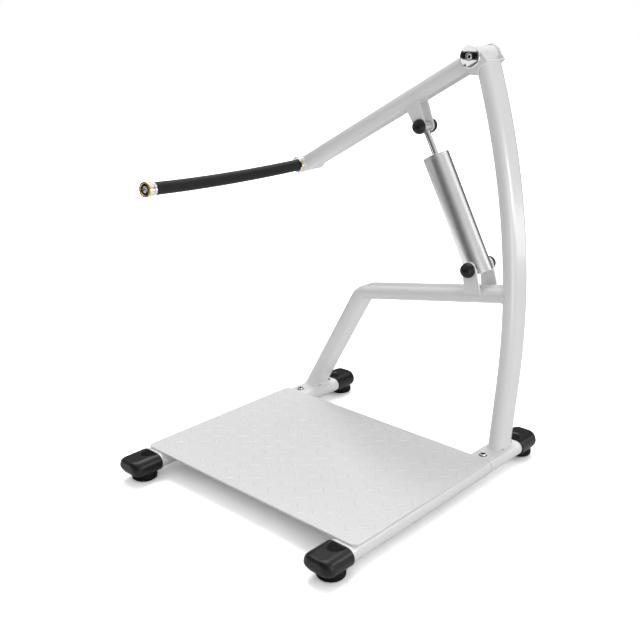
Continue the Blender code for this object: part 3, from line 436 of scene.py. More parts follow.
def bead(points, radius, closed=True, ripples=3.2):
    """A weld bead: a rope of overlapping drops along the points."""
    dense = resampled(points, 0.0012, closed)
    count = len(dense)
    rings = []
    travelled = 0.0
    for index, point in enumerate(dense):
        before = dense[index - 1] if closed or index else point
        after = dense[(index + 1) % count] if closed or index < count - 1 else point
        direction = (after - before).normalized()
        side = direction.orthogonal().normalized()
        if rings:
            side = (last_side - direction * last_side.dot(direction)).normalized()
        last_side = side
        up = direction.cross(side)
        phase = (travelled * 1000 / ripples) % 1.0
        swell = radius * (0.86 + 0.16 * sin(pi * phase))
        rings.append([point + side * x + up * y for x, y in circle(swell, 10)])
        travelled += (after - point).length
    return loft(rings, closed)


def resampled(points, spacing, closed):
    """The same line with even steps."""
    line = list(points) + ([points[0]] if closed else [])
    result = []
    carry = 0.0
    for first, last in zip(line, line[1:]):
        length = (last - first).length
        at = carry
        while at < length:
            result.append(first.lerp(last, at / length))
            at += spacing
        carry = at - length
    return result


def axes_at(origin, x_axis, z_axis):
    y_axis = z_axis.cross(x_axis)
    rotation = Matrix((x_axis, y_axis, z_axis)).transposed()
    return Matrix.Translation(origin) @ rotation.to_4x4()


def world(matrix):
    """From the drawing's place, under the front left foot, to the frame's."""
    return Matrix.Translation(ORIGIN) @ matrix


AT_FOOT = world(Matrix())
ACROSS = axes_at(Vector(), X_AXIS, Y_AXIS)
ARM_PLACE = world(axes_at(PIVOT, ARM_DIRECTION, ARM_UPWARD))
CYLINDER_SIDE = Y_AXIS.cross(CYLINDER_DIRECTION)
ROD_PLACE = world(axes_at(UPPER_PIN, CYLINDER_SIDE, CYLINDER_DIRECTION))
CYLINDER_PLACE = world(axes_at(LOWER_PIN, CYLINDER_SIDE, CYLINDER_DIRECTION))
ON_FRAME = ("frame", AT_FOOT)
ON_ARM = ("arm", ARM_PLACE)
ON_ROD = ("rod", ROD_PLACE)
ON_CYLINDER = ("cylinder", CYLINDER_PLACE)


# Objects


def mesh_data(name, mesh):
    data = bpy.data.meshes.new(name)
    mesh.to_mesh(data)
    mesh.free()
    return data


def linked(name, data):
    made = bpy.data.objects.new(name, data)
    bpy.context.scene.collection.objects.link(made)
    return made


def piece(name, mesh, finish, body="frame", matrix=AT_FOOT, stands_for=(), bevel=0.0, crease=38):
    """A shown piece that rides on a body and, where it stands for CAD nodes, hides them."""
    # A brushed piece keeps its own axes, because its grain runs along them.
    brushed = finish == BRUSHED
    if not brushed:
        moved(mesh, matrix)
    bmesh.ops.recalc_face_normals(mesh, faces=mesh.faces)
    data = mesh_data(name, mesh)
    data.shade_smooth()
    data.set_sharp_from_angle(angle=radians(180 if bevel else crease))
    data.materials.append(FINISHES[finish])
    made = linked(name, data)
    if brushed:
        made.matrix_world = matrix
        bpy.context.view_layer.update()
    if bevel:
        edges = made.modifiers.new("Edges", "BEVEL")
        edges.width = bevel
        edges.segments = 3
        edges.limit_method = "ANGLE"
        edges.angle_limit = radians(40)
    weighted = made.modifiers.new("Flats", "WEIGHTED_NORMAL")
    weighted.keep_sharp = True
    if stands_for:
        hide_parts(*stands_for)
    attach(made, body)
    return made


def carved(mesh, tools, operation="DIFFERENCE"):
    """The mesh with tool meshes cut from it, or joined to it."""
    bmesh.ops.recalc_face_normals(mesh, faces=mesh.faces)
    work = linked("work", mesh_data("stock", mesh))
    helpers = []
    for tool in tools:
        bmesh.ops.recalc_face_normals(tool, faces=tool.faces)
        helper = linked("tool", mesh_data("tool", tool))
        helpers.append(helper)
        modifier = work.modifiers.new("Cut", "BOOLEAN")
        modifier.operation = operation
        modifier.solver = "EXACT"
        modifier.object = helper
    bpy.context.view_layer.update()
    graph = bpy.context.evaluated_depsgraph_get()
    cut = bpy.data.meshes.new_from_object(work.evaluated_get(graph))
    result = bmesh.new()
    result.from_mesh(cut)
    for item in [work, *helpers]:
        bpy.data.objects.remove(item)
    return result


def moved(mesh, matrix):
    bmesh.ops.transform(mesh, matrix=matrix, verts=mesh.verts)
    return mesh


# Feet


def rounding(from_end, radius):
    """How far an edge of a radius has drawn in at a distance from the end."""
    return radius * (1 - sqrt(max(0.0, 1 - max(0.0, 1 - from_end / radius) ** 2)))


def cap_ring(height, from_end):
    """The cap's outside at a height above its rim, as a section whose underside turns up early."""
    width = TUBE_WIDTH + 2 * (CAP_WALL + GAP)
    depth = TUBE_DEPTH + 2 * (CAP_WALL + GAP)
    if height < CAP_RIM:
        loss = CAP_RIM_LOSS * (1 - sqrt(1 - (1 - height / CAP_RIM) ** 2))
        return oval(width - 2 * loss, depth - 2 * loss, *CAP_DIVISIONS)
    width_loss = rounding(from_end, CAP_PLAN_RADIUS)
    depth_loss = rounding(from_end, CAP_EDGE_RADIUS)
    lift = rounding(from_end, CAP_KEEL_RADIUS) * CAP_KEEL_RISE / CAP_KEEL_RADIUS
    outline = oval(width - 2 * width_loss, depth - 2 * depth_loss, *CAP_DIVISIONS)
    half = depth / 2 - depth_loss
    return [(x, y if y > 0 else y * (1 - min(0.9, lift / half))) for x, y in outline]


def foot_cap(name, x, rim_y, outward):
    """A moulded end cap with a thumb recess on top by its rim, and the boss that its foot is pressed on."""
    heights = [0.0, 0.0004, 0.0009, CAP_RIM]
    heights += [CAP_RIM + (CAP_LENGTH - CAP_PLAN_RADIUS - CAP_RIM) * step / 26 for step in range(1, 27)]
    heights += [
        CAP_LENGTH - CAP_PLAN_RADIUS * (1 - sin(pi / 2 * step / 14)) for step in range(1, 15)
    ]
    rings = []
    for height in heights:
        ring = []
        for across, up in cap_ring(height, CAP_LENGTH - height):
            if up > TUBE_DEPTH / 2:
                up -= recess(across, height)
            ring.append((across, up, height))
        rings.append(ring)
    # The section's up is +Z for either end.
    x_axis = X_AXIS if outward < 0 else -X_AXIS
    place = axes_at(Vector((x, rim_y, RUNNER_Z)), x_axis, Y_AXIS * outward)
    foot_y = 0 if outward < 0 else FOOT_SPACING_Y
    foot_z = PAD_HEIGHT + GAP
    profile = [(0, foot_z), (BOSS_RADIUS, foot_z), (BOSS_TOP_RADIUS, BOSS_TOP_Z), (0, BOSS_TOP_Z)]
    boss = lathe(profile, 72, ease=0.0008)
    boss = moved(boss, Matrix.Translation((x, foot_y, 0)))
    cap = carved(moved(loft(rings), place), [boss], "UNION")
    piece(name, cap, PLASTIC, stands_for=(f"foot_{name}",), crease=50)
    recess_pad(f"{name}_pad", place)


def recess(across, height):
    """The thumb recess, a flat half-oval that opens at the rim."""
    reach = hypot(across / RECESS_HALF_WIDTH, max(0.0, height - RECESS_START) / RECESS_REACH)
    wall = min(1.0, max(0.0, (1 - reach) / 0.10))
    return RECESS_DEPTH * min(1.0, height / RECESS_START) * wall * wall * (3 - 2 * wall)


def recess_pad(name, place):
    """The matt pad on the recess's floor, with low ribs across it."""
    mesh = bmesh.new()
    rows = []
    reach = RECESS_REACH * RECESS_PAD_SHARE
    widest = RECESS_HALF_WIDTH * RECESS_PAD_SHARE
    for step in range(49):
        along = RECESS_START + reach * step / 48
        half = widest * sqrt(max(0.0, 1 - ((along - RECESS_START) / reach) ** 2))
        rib = 0.0002 * sin(tau * step / 6)
        up = TUBE_DEPTH / 2 + CAP_WALL + GAP - RECESS_DEPTH + 0.0007 + rib
        rows.append([mesh.verts.new((max(half, 0.0005) * side, up, along)) for side in (-1, -0.5, 0, 0.5, 1)])
    for low, high in zip(rows, rows[1:]):
        for index in range(4):
            mesh.faces.new((low[index], low[index + 1], high[index + 1], high[index]))
    bmesh.ops.solidify(mesh, geom=mesh.faces[:], thickness=0.0005)
    piece(name, moved(mesh, place), RIBBED, crease=60)


def foot_pad(name, x, y):
    """A round rubber foot with a rolled lower edge and a groove round it."""
    radius = PAD_DIAMETER / 2
    profile = [(0, 0.0012), (radius - 0.012, 0.0012), (radius - 0.011, 0), (radius - 0.0060, 0)]
    for step in range(1, 9):
        angle = pi / 2 * (step / 8 - 1)
        profile.append((radius - 0.0060 + 0.0060 * cos(angle), 0.0066 + 0.0066 * sin(angle)))
    profile += [
        (radius, 0.0094), (radius - 0.0010, 0.0100), (radius - 0.0010, 0.0108), (radius, 0.0114),
        (radius - 0.0006, PAD_HEIGHT - 0.0018), (radius - 0.0022, PAD_HEIGHT), (0, PAD_HEIGHT),
    ]
    mesh = moved(lathe(profile, 72, ease=0.0004), Matrix.Translation((x, y, 0)))
    piece(name, mesh, RUBBER, stands_for=(f"foot_{name}",), crease=50)


# Runners and platform


def line_y(x, start, end):
    return [(Vector((x, start, RUNNER_Z)), Y_AXIS), (Vector((x, end, RUNNER_Z)), Y_AXIS)]


def eased_tube(path, across):
    """A straight tube whose end edges are broken."""
    (start, direction), (end, _) = path
    rings = []
    for point, way in ((start, 1), (end, -1)):
        ends = []
        for inset, loss in ((0, 0.0015), (0.0005, 0.0007), (0.0013, 0)):
            outline = oval(TUBE_WIDTH - 2 * loss, TUBE_DEPTH - 2 * loss)
            ends.append(section_at(point + direction * way * inset, direction, across, outline))
        rings += ends if way > 0 else ends[::-1]
    return loft(rings)


def runners():
    for side, x in (("left", 0), ("right", FOOT_SPACING_X)):
        front = line_y(x, FRONT_RIM_Y - RIM_OVERLAP, SEAM_Y - SEAM_SETBACK)
        rear = line_y(x, SEAM_Y + GAP + SEAM_SETBACK, REAR_RIM_Y + RIM_OVERLAP)
        # A dark strip in the gap between runner and stub, painted shade of the seam.
        seam = line_y(x, SEAM_Y - SEAM_SETBACK - SEAM_SHADE_OVERLAP, SEAM_Y + GAP + SEAM_SETBACK + SEAM_SHADE_OVERLAP)
        seam_shade_strip = tube_along(seam, X_AXIS, TUBE_WIDTH - SEAM_SHADE_INSET, TUBE_DEPTH - SEAM_SHADE_INSET)
        piece(f"seam_shade_{side}", seam_shade_strip, RUBBER)
        piece(f"runner_{side}", eased_tube(front, X_AXIS), WHITE, stands_for=(f"runner_tube_{side}",))
        piece(f"stub_{side}", eased_tube(rear, X_AXIS), WHITE, stands_for=(f"rear_stub_{side}",))
        foot_cap(f"cap_front_{side}", x, FRONT_RIM_Y, -1)
        foot_cap(f"cap_rear_{side}", x, REAR_RIM_Y, 1)
        foot_pad(f"pad_front_{side}", x, 0)
        foot_pad(f"pad_rear_{side}", x, FOOT_SPACING_Y)
        seam_bolt(side, x)
        small_fixings(side, x)


def hexagon(across_flats):
    return circle(across_flats / sqrt(3), 6)


def seam_bolt(side, x):
    """A button-head bolt on a rubber ring and a washer.

    The dark disc in each well is painted shade; the left one rises above its rim and is also a painted dark
    reflection on the head, the right one lies only at its foot.
    """
    place = Matrix.Translation((x, SEAM_BOLT_Y, RUNNER_TOP_Z))
    head = lathe([
        (0, 0.0014), (0.0088, 0.0014), (0.0088, 0.0034), (0.0080, 0.0052), (0.0068, 0.0060), (0.0062, 0.0058),
        (0.0060, 0.0030), (0, 0.0030),
    ], ease=0.0005)
    piece(f"bolt_{side}", moved(head, place), CHROME, stands_for=(f"seam_bolt_{side}",), crease=60)
    washer = lathe([(0, 0.0001), (0.0112, 0.0001), (0.0112, 0.0012), (0, 0.0012)], ease=0.0003)
    piece(f"bolt_washer_{side}", moved(washer, place), CHROME)
    ring = sleeve(0.0096, 0.0086, 0.0010, 0.0022, 48, 0.0005)
    piece(f"bolt_ring_{side}", moved(ring, place), RUBBER)
    # The dark disc in the bolt's well is painted shade, and on the left bolt also a painted dark reflection.
    top = 0.0062 if side == "left" else 0.0040
    profile = [(0, 0.0031), (0.0058, 0.0031), (0.0058, top - 0.0004), (0.0052, top), (0, top)]
    plug = lathe(profile, 32, ease=0.0003)
    piece(f"bolt_well_shade_{side}", moved(plug, place), RUBBER, crease=60)


def small_fixings(side, x):
    """A painted plug beside the upright's foot and a small dark screw by the rear cap's rim."""
    profile = [
        (0, 0.0001), (0.0050, 0.0001), (0.0050, 0.0010), (0.0040, 0.0016), (0.0022, 0.0008), (0, 0.0008),
    ]
    plug = lathe(profile, 32, ease=0.0004)
    place = Matrix.Translation((x + VENT_PLUG_OFFSET_X, VENT_PLUG_Y, RUNNER_TOP_Z))
    piece(f"vent_plug_{side}", moved(plug, place), WHITE, crease=60)
    rim = sleeve(0.0057, 0.0049, 0.0001, 0.0007, 40, 0.0002)
    piece(f"vent_rim_{side}", moved(rim, place), RUBBER, crease=60)
    profile = [(0, 0.0001), (0.0040, 0.0001), (0.0038, 0.0016), (0.0024, 0.0026), (0, 0.0028)]
    head = lathe(profile, 32, ease=0.0004)
    socket = prism(hexagon(0.0024), 0.0014, 0.006)
    place = Matrix.Translation((x + RIM_SCREW_OFFSET_X, RIM_SCREW_Y, RUNNER_TOP_Z))
    screw = carved(moved(head, place), [moved(socket, place)])
    piece(f"rim_screw_{side}", screw, PLASTIC, crease=30)


def platform():
    """The tread plate with its raised lentils."""
    width = PLATFORM_RIGHT - PLATFORM_LEFT
    depth = PLATFORM_BACK - PLATFORM_FRONT
    centre = Vector((
        (PLATFORM_LEFT + PLATFORM_RIGHT) / 2, (PLATFORM_FRONT + PLATFORM_BACK) / 2, RUNNER_TOP_Z + GAP
    ))
    rings = []
    for height, loss in (
        (0, 0.0006), (0.0006, 0), (PLATFORM_THICKNESS - 0.0012, 0), (PLATFORM_THICKNESS - 0.0004, 0.0004),
        (PLATFORM_THICKNESS, 0.0012), (PLATFORM_THICKNESS, 0.0030),
    ):
        outline = rounded_rectangle(width - 2 * loss, depth - 2 * loss, PLATFORM_CORNER - loss, 12)
        rings.append([(x, y, height) for x, y in outline])
    mesh = moved(loft(rings), Matrix.Translation(centre))
    piece("tread_plate", mesh, PLATE, stands_for=("platform_plate",), crease=60)
    piece("tread_lentils", lentils(), PLATE, crease=60)


def lentils():
    """Pointed bumps on two interleaved grids, each square to the other's."""
    pitch_x, pitch_y = 0.0498, 0.0465
    margin = 0.013
    mesh = bmesh.new()
    for grid, turn in (((0.0125, 0.0625), 45), ((0.0125 + pitch_x / 2, 0.0625 + pitch_y / 2), -45)):
        for column in range(-2, 16):
            for row in range(-2, 14):
                x = grid[0] + column * pitch_x
                y = grid[1] + row * pitch_y
                if not PLATFORM_LEFT + margin < x < PLATFORM_RIGHT - margin:
                    continue
                if not PLATFORM_FRONT + margin < y < PLATFORM_BACK - margin:
                    continue
                lentil(mesh, x, y, radians(turn))
    return mesh


def lentil(mesh, x, y, turn):
    half_length, half_width, rise = 0.0165, 0.0046, 0.0011
    cosine, sine = cos(turn), sin(turn)
    loops = []
    for scale, height in ((1.0, -0.0002), (0.97, 0.35), (0.80, 0.72), (0.52, 0.93), (0.2, 1.0)):
        lift = height * rise if height > 0 else height
        loop = []
        for step in range(16):
            angle = tau * step / 16
            along = cos(angle)
            across = copysign(1 - along * along, sin(angle)) if abs(along) < 1 else 0
            a = half_length * scale * along
            b = half_width * scale * across
            point = (x + a * cosine - b * sine, y + a * sine + b * cosine, PLATFORM_TOP_Z + lift)
            loop.append(mesh.verts.new(point))
        loops.append(loop)
    for lower, upper in zip(loops, loops[1:]):
        bridge(mesh, lower, upper)
    mesh.faces.new(loops[-1])


# Post and brace


def post_point(z):
    bend_z = max(z, POST_STRAIGHT_TO_Z)
    rise = bend_z - POST_PLUMB_Z
    run = sqrt(POST_RADIUS**2 - rise**2)
    direction = Vector((-rise, 0, run)).normalized()
    centre = Vector((POST_PLUMB_X - POST_RADIUS + run, UPRIGHT_Y, bend_z))
    return centre + direction * ((z - bend_z) / direction.z), direction


def post_path():
    heights = [RUNNER_Z, POST_STRAIGHT_TO_Z]
    heights += [POST_STRAIGHT_TO_Z + (PIVOT.z - POST_STRAIGHT_TO_Z) * step / 48 for step in range(1, 49)]
    return [post_point(z) for z in heights]


def leg_point(z):
    return Vector((BRACE_FOOT_X + (z - RUNNER_TOP_Z) / tan(LEG_ANGLE), UPRIGHT_Y, z))


def knee_point():
    return leg_point(RUNNER_TOP_Z + (KNEE_X - BRACE_FOOT_X) * tan(LEG_ANGLE))


def run_height(x):
    return knee_point().z + (x - KNEE_X) * tan(RUN_ANGLE)


def brace_path():
    turn = LEG_ANGLE - RUN_ANGLE
    setback = BEND_RADIUS * tan(turn / 2)
    bend_start = knee_point() - LEG_DIRECTION * setback
    centre = bend_start + Vector((LEG_DIRECTION.z, 0, -LEG_DIRECTION.x)) * BEND_RADIUS
    path = [(leg_point(RUNNER_Z), LEG_DIRECTION), (bend_start - LEG_DIRECTION * 0.002, LEG_DIRECTION)]
    for step in range(25):
        angle = LEG_ANGLE - turn * step / 24
        outward = Vector((-sin(angle), 0, cos(angle)))
        path.append((centre + outward * BEND_RADIUS, Vector((cos(angle), 0, sin(angle)))))
    path.append((path[-1][0] + RUN_DIRECTION * 0.002, RUN_DIRECTION))
    meeting_x = post_point(run_height(POST_PLUMB_X))[0].x
    path.append((Vector((meeting_x, UPRIGHT_Y, run_height(meeting_x))), RUN_DIRECTION))
    return path


def inside_oval(across):
    """How far the flat-oval's surface stands from its middle plane, at a distance across it."""
    reach = HALF_TUBE - TUBE_DEPTH / 2
    beyond = max(0.0, abs(across) - reach)
    radius = TUBE_DEPTH / 2
    return sqrt(max(0.0, radius**2 - beyond**2))


def seam_on(outline_points, direction, excess):
    """Where lines in a direction from the points first leave a body; excess is positive outside it."""
    hits = []
    for point in outline_points:
        low, high = 0.0, 0.25
        for _ in range(40):
            middle = (low + high) / 2
            if excess(point + direction * middle) > 0:
                high = middle
            else:
                low = middle
        hits.append(point + direction * low)
    return hits


def off_stub(x):
    """How far outside the runner's tube a point is, in its section."""

    def excess(point):
        return abs(point.z - RUNNER_Z) - inside_oval(point.x - x)

    return excess


def off_post(point):
    """How far to the left of the post's surface a point is."""
    centre, direction = post_point(point.z)
    side = Vector((direction.z, 0, -direction.x))
    return -(point - centre).dot(side) - inside_oval(point.y - UPRIGHT_Y)


def web_point(along, below):
    return (
        CHEEK_TIP[0] + WEB_DIRECTION[0] * along + WEB_DOWNWARD[0] * below,
        CHEEK_TIP[1] + WEB_DIRECTION[1] * along + WEB_DOWNWARD[1] * below,
    )


def side_view(origin):
    return axes_at(origin, X_AXIS, -Y_AXIS)


def stub_tool(x):
    return tube_along(line_y(x, UPRIGHT_Y - 0.09, UPRIGHT_Y + 0.09), X_AXIS)


def uprights():
    section = oval(TUBE_WIDTH, TUBE_DEPTH)
    corners = [web_point(*corner) for corner in ((0.2, 0.003), (-0.2, 0.003), (-0.2, -0.3), (0.2, -0.3))]
    block = prism(corners, -TUBE_WIDTH, TUBE_WIDTH)
    tools = [stub_tool(FOOT_SPACING_X), moved(block, side_view(PIVOT))]
    post = carved(tube_along(post_path(), Y_AXIS), tools)
    piece("post", post, WHITE, stands_for=("post_tube",))

    inner_post = tube_along(post_path(), Y_AXIS, TUBE_WIDTH - 0.001, TUBE_DEPTH - 0.001)
    brace = carved(tube_along(brace_path(), Y_AXIS), [stub_tool(0), inner_post])
    piece("brace", brace, WHITE, stands_for=("brace_tube",))

    start, direction = post_point(RUNNER_Z)
    ring = section_at(start, direction, Y_AXIS, section)
    seam = seam_on(ring, direction, off_stub(FOOT_SPACING_X))
    piece("post_weld", bead(seam, FRAME_WELD), WHITE)

    ring = section_at(leg_point(RUNNER_Z), LEG_DIRECTION, Y_AXIS, section)
    seam = seam_on([point - LEG_DIRECTION * 0.02 for point in ring], LEG_DIRECTION, off_leg_stub)
    piece("leg_weld", bead(seam, FRAME_WELD), WHITE)

    end, _ = brace_path()[-1]
    ring = section_at(end + RUN_DIRECTION * 0.03, RUN_DIRECTION, Y_AXIS, section)
    seam = seam_on(ring, -RUN_DIRECTION, off_post)
    piece("brace_weld", bead(seam, FRAME_WELD), WHITE)


def off_leg_stub(point):
    """As off_stub for the left runner, for lines that start under it."""
    if point.z < RUNNER_Z:
        return -1.0
    return off_stub(0)(point)


# Pivot bracket


def bracket():
    place = side_view(PIVOT)
    start = tangent_angle(CHEEK_TIP, CHEEK_RADIUS, 1)
    end = tangent_angle(CHEEK_TOE, CHEEK_RADIUS, -1) + tau
    outline = [CHEEK_TOE, CHEEK_HEEL, CHEEK_WAIST, CHEEK_TIP] + arc((0, 0), CHEEK_RADIUS, start, end, 40)
    for name, low in (("rear", -CHEEK_OUTER), ("front", CHEEK_INNER)):
        cheek = moved(prism(outline, low, low + CHEEK_THICKNESS), place)
        stands_for = ("pivot_bracket",) if name == "front" else ()
        piece(f"cheek_{name}", cheek, WHITE, stands_for=stands_for, bevel=0.0007)
    web = [web_point(0, 0), web_point(WEB_LENGTH, 0), web_point(WEB_LENGTH, CHEEK_THICKNESS),
           web_point(0, CHEEK_THICKNESS)]
    mesh = moved(prism(web, WEB_SETBACK - CHEEK_OUTER, CHEEK_OUTER - WEB_SETBACK), place)
    piece("bracket_web", mesh, WHITE, bevel=0.0012)
    for name, outward in (("front", -1), ("rear", 1)):
        axle_cap(name, outward)


def axle_cap(name, outward):
    """A turned chrome cap with a faintly domed face round a sunk socket screw."""
    origin = PIVOT + Y_AXIS * outward * CHEEK_OUTER
    place = axes_at(origin, X_AXIS, Y_AXIS * outward)
    radius = AXLE_CAP_RADIUS
    profile = [
        (0, GAP), (radius, GAP), (radius, 0.0052), (radius - 0.0008, 0.0068), (radius - 0.0026, 0.0079),
    ]
    for step in range(9):
        out = 0.0250 - 0.0153 * step / 8
        profile.append((out, AXLE_CAP_DEPTH - out**2 / (2 * AXLE_CAP_CROWN)))
    profile += [(0.0094, 0.0092), (0.0092, 0.0040), (0, 0.0040)]
    cap = moved(lathe(profile, 96, ease=0.0004), place)
    piece(f"hub_cap_{name}", cap, CHROME, stands_for=(f"axle_cap_{name}",), crease=60)
    socket_screw(f"hub_screw_{name}", place @ Matrix.Translation((0, 0, 0.0042)), 0.0074, 0.0052, "frame")


def socket_screw(name, place, radius, height, body, matrix=AT_FOOT):
    """A screw head: a rounded chrome ring round a socket whose dark hex is painted shade."""
    hole = radius * 0.52
    head = lathe([
        (0, 0), (radius, 0), (radius, height * 0.60), (radius * 0.78, height), (radius * 0.64, height * 0.96),
        (hole, height * 0.70), (hole, height * 0.20), (0, height * 0.20),
    ], 48, ease=0.0007)
    piece(name, moved(head, place), CHROME, body, matrix, crease=60)
    # The dark hex in the socket is painted shade, not a separate part.
    plug = prism(hexagon(hole * 1.7), height * 0.22, height * 0.45)
    piece(f"{name}_socket", moved(plug, place), RUBBER, body, matrix)


# Arm


def bar_heading(distance):
    return BAR_LEAN - max(0.0, distance - BAR_STRAIGHT) / BAR_ARC


def bar_point(distance):
    straight = min(distance, BAR_STRAIGHT)
    heading = bar_heading(distance)
    x = ARM_LENGTH + straight * sin(BAR_LEAN) + BAR_ARC * (cos(heading) - cos(BAR_LEAN))
    y = straight * cos(BAR_LEAN) + BAR_ARC * (sin(BAR_LEAN) - sin(heading))
    return Vector((x, y, 0))


def bar_direction(distance):
    heading = bar_heading(distance)
    return Vector((sin(heading), cos(heading), 0))


def bar_matrix(distance):
    return axes_at(bar_point(distance), Z_AXIS, bar_direction(distance))


def arm():
    barrel = sleeve(BARREL_RADIUS, BARREL_BORE_RADIUS, -HALF_TUBE, HALF_TUBE, 96, 0.0012)
    piece("arm_barrel", moved(barrel, ACROSS), WHITE, *ON_ARM, ("pivot_barrel",), crease=50)

    path = [(Vector((0, 0, 0)), X_AXIS), (Vector((ARM_LENGTH, 0, 0)), X_AXIS)]
    barrel_tool = moved(plain_round(BARREL_RADIUS - 0.0004, -0.06, 0.06, 96), ACROSS)
    socket_tool = moved(plain_round(SOCKET_RADIUS - 0.0004, -0.06, 0.06, 96), bar_matrix(0))
    lever = carved(tube_along(path, Y_AXIS), [barrel_tool, socket_tool])
    piece("arm_lever", lever, WHITE, *ON_ARM, ("arm_tube",))

    socket = sleeve(SOCKET_RADIUS, BAR_RADIUS + GAP, -HALF_TUBE, HALF_TUBE, 96, 0.0012)
    piece("arm_socket", moved(socket, bar_matrix(0)), WHITE, *ON_ARM, ("handle_socket",), crease=50)

    barrel_seam = []
    socket_seam = []
    for across, up in oval(TUBE_WIDTH, TUBE_DEPTH):
        inset = copysign(min(abs(across), HALF_TUBE - 0.0015), across)
        back = sqrt(SOCKET_RADIUS**2 - up**2) / cos(BAR_LEAN)
        barrel_seam.append(Vector((sqrt(BARREL_RADIUS**2 - up**2), inset, up)))
        socket_seam.append(Vector((ARM_LENGTH + inset * tan(BAR_LEAN) - back, inset, up)))
    piece("barrel_weld", bead(barrel_seam, BARREL_WELD), WHITE, *ON_ARM)
    piece("socket_weld", bead(socket_seam, SOCKET_WELD), WHITE, *ON_ARM)


def handle():
    stations = [-HALF_TUBE + (END_CAP_START + HALF_TUBE) * step / 40 for step in range(41)]
    path = [(bar_point(distance), bar_direction(distance)) for distance in stations]
    mesh = loft(section_along(path, Z_AXIS, circle(BAR_RADIUS, 48)))
    piece("bar", mesh, CHROME, *ON_ARM, ("handle_bar",))

    collar = lathe([
        (BAR_RADIUS + GAP, 0), (0.0205, 0), (0.0205, 0.0024), (0.0228, 0.0034), (0.0228, 0.0078),
        (0.0200, COLLAR_LENGTH), (BAR_RADIUS + GAP, COLLAR_LENGTH),
    ], 72, True, 0.0006)
    piece("collar", moved(collar, bar_matrix(COLLAR_START)), CHROME, *ON_ARM,
          ("grip_collar_inner",), crease=60)
    ring = sleeve(0.0240, 0.0226, 0.0036, 0.0068, 72, 0.0007)
    piece("collar_ring", moved(ring, bar_matrix(COLLAR_START)), GOLD, *ON_ARM, crease=60)

    grip = piece("grip", grip_sleeve(), FOAM, *ON_ARM, ("handle_grip",), crease=60)

    collar = sleeve(0.0190, BAR_RADIUS + GAP, 0, END_COLLAR_LENGTH, 72, 0.0010)
    piece("end_collar", moved(collar, bar_matrix(END_COLLAR_START)), CHROME, *ON_ARM,
          ("grip_collar_outer",), crease=60)
    end_cap()


def grip_sleeve():
    """The grip, with rolled ends."""
    stations = [0, 0.0004, 0.0012, GRIP_ROLL]
    stations += [GRIP_ROLL + (GRIP_LENGTH - 2 * GRIP_ROLL) * step / 60 for step in range(1, 60)]
    stations += [GRIP_LENGTH - GRIP_ROLL, GRIP_LENGTH - 0.0012, GRIP_LENGTH - 0.0004, GRIP_LENGTH]
    rings = []
    for station in stations:
        from_end = min(station, GRIP_LENGTH - station)
        roll = max(0.0, 1 - from_end / GRIP_ROLL)
        radius = GRIP_RADIUS - GRIP_ROLL * (1 - sqrt(1 - roll**2))
        distance = GRIP_START + station
        rings.append(section_at(bar_point(distance), bar_direction(distance), Z_AXIS, circle(radius, 56)))
    return loft(rings)


def end_cap():
    """A chrome barrel with a gold rim, and a sunk face round a socket screw."""
    place = bar_matrix(END_CAP_START)
    radius = END_CAP_RADIUS
    length = END_CAP_LENGTH
    profile = [
        (0, 0), (radius - 0.0022, 0), (radius - 0.0010, 0.0016), (radius - 0.0010, 0.0130),
        (radius - 0.0018, 0.0146), (radius - 0.0018, length - 0.0020), (0.0078, length - 0.0020),
        (0.0074, length - 0.0050), (0, length - 0.0050),
    ]
    cap = moved(lathe(profile, 72, ease=0.0007), place)
    piece("end_cap", cap, CHROME, *ON_ARM, ("handle_end_cap",), crease=60)
    ring = sleeve(radius, radius - 0.0046, length - 0.0050, length, 72, 0.0014)
    piece("end_cap_ring", moved(ring, place), GOLD, *ON_ARM, crease=60)
    seat = place @ Matrix.Translation((0, 0, length - 0.0050))
    socket_screw("end_cap_screw", seat, 0.0050, 0.0036, *ON_ARM)


# Clevises, pins and cylinder


def clevis_plate(name, outline, low, high, place, body, matrix, node, tools=()):
    hole = plain_round(PIN_RADIUS + GAP, low - 0.01, high + 0.01, 40)
    mesh = carved(prism(outline, low, high), [hole])
    mesh = moved(mesh, place)
    if tools:
        mesh = carved(mesh, tools)
    piece(name, mesh, WHITE, body, matrix, (node,), bevel=0.0008)


def dome(name, place, skirt, body, matrix, node):
    """A half-round black cover on a short skirt."""
    radius = PIN_CAP_RADIUS
    profile = [(0, GAP), (radius - 0.0006, GAP)]
    for step in range(17):
        angle = pi / 2 * step / 16
        profile.append((radius * cos(angle), GAP + skirt + (radius - GAP) * sin(angle)))
    mesh = moved(lathe(profile, 64, ease=0), place)
    piece(name, mesh, PLASTIC, body, matrix, (node,), crease=60)


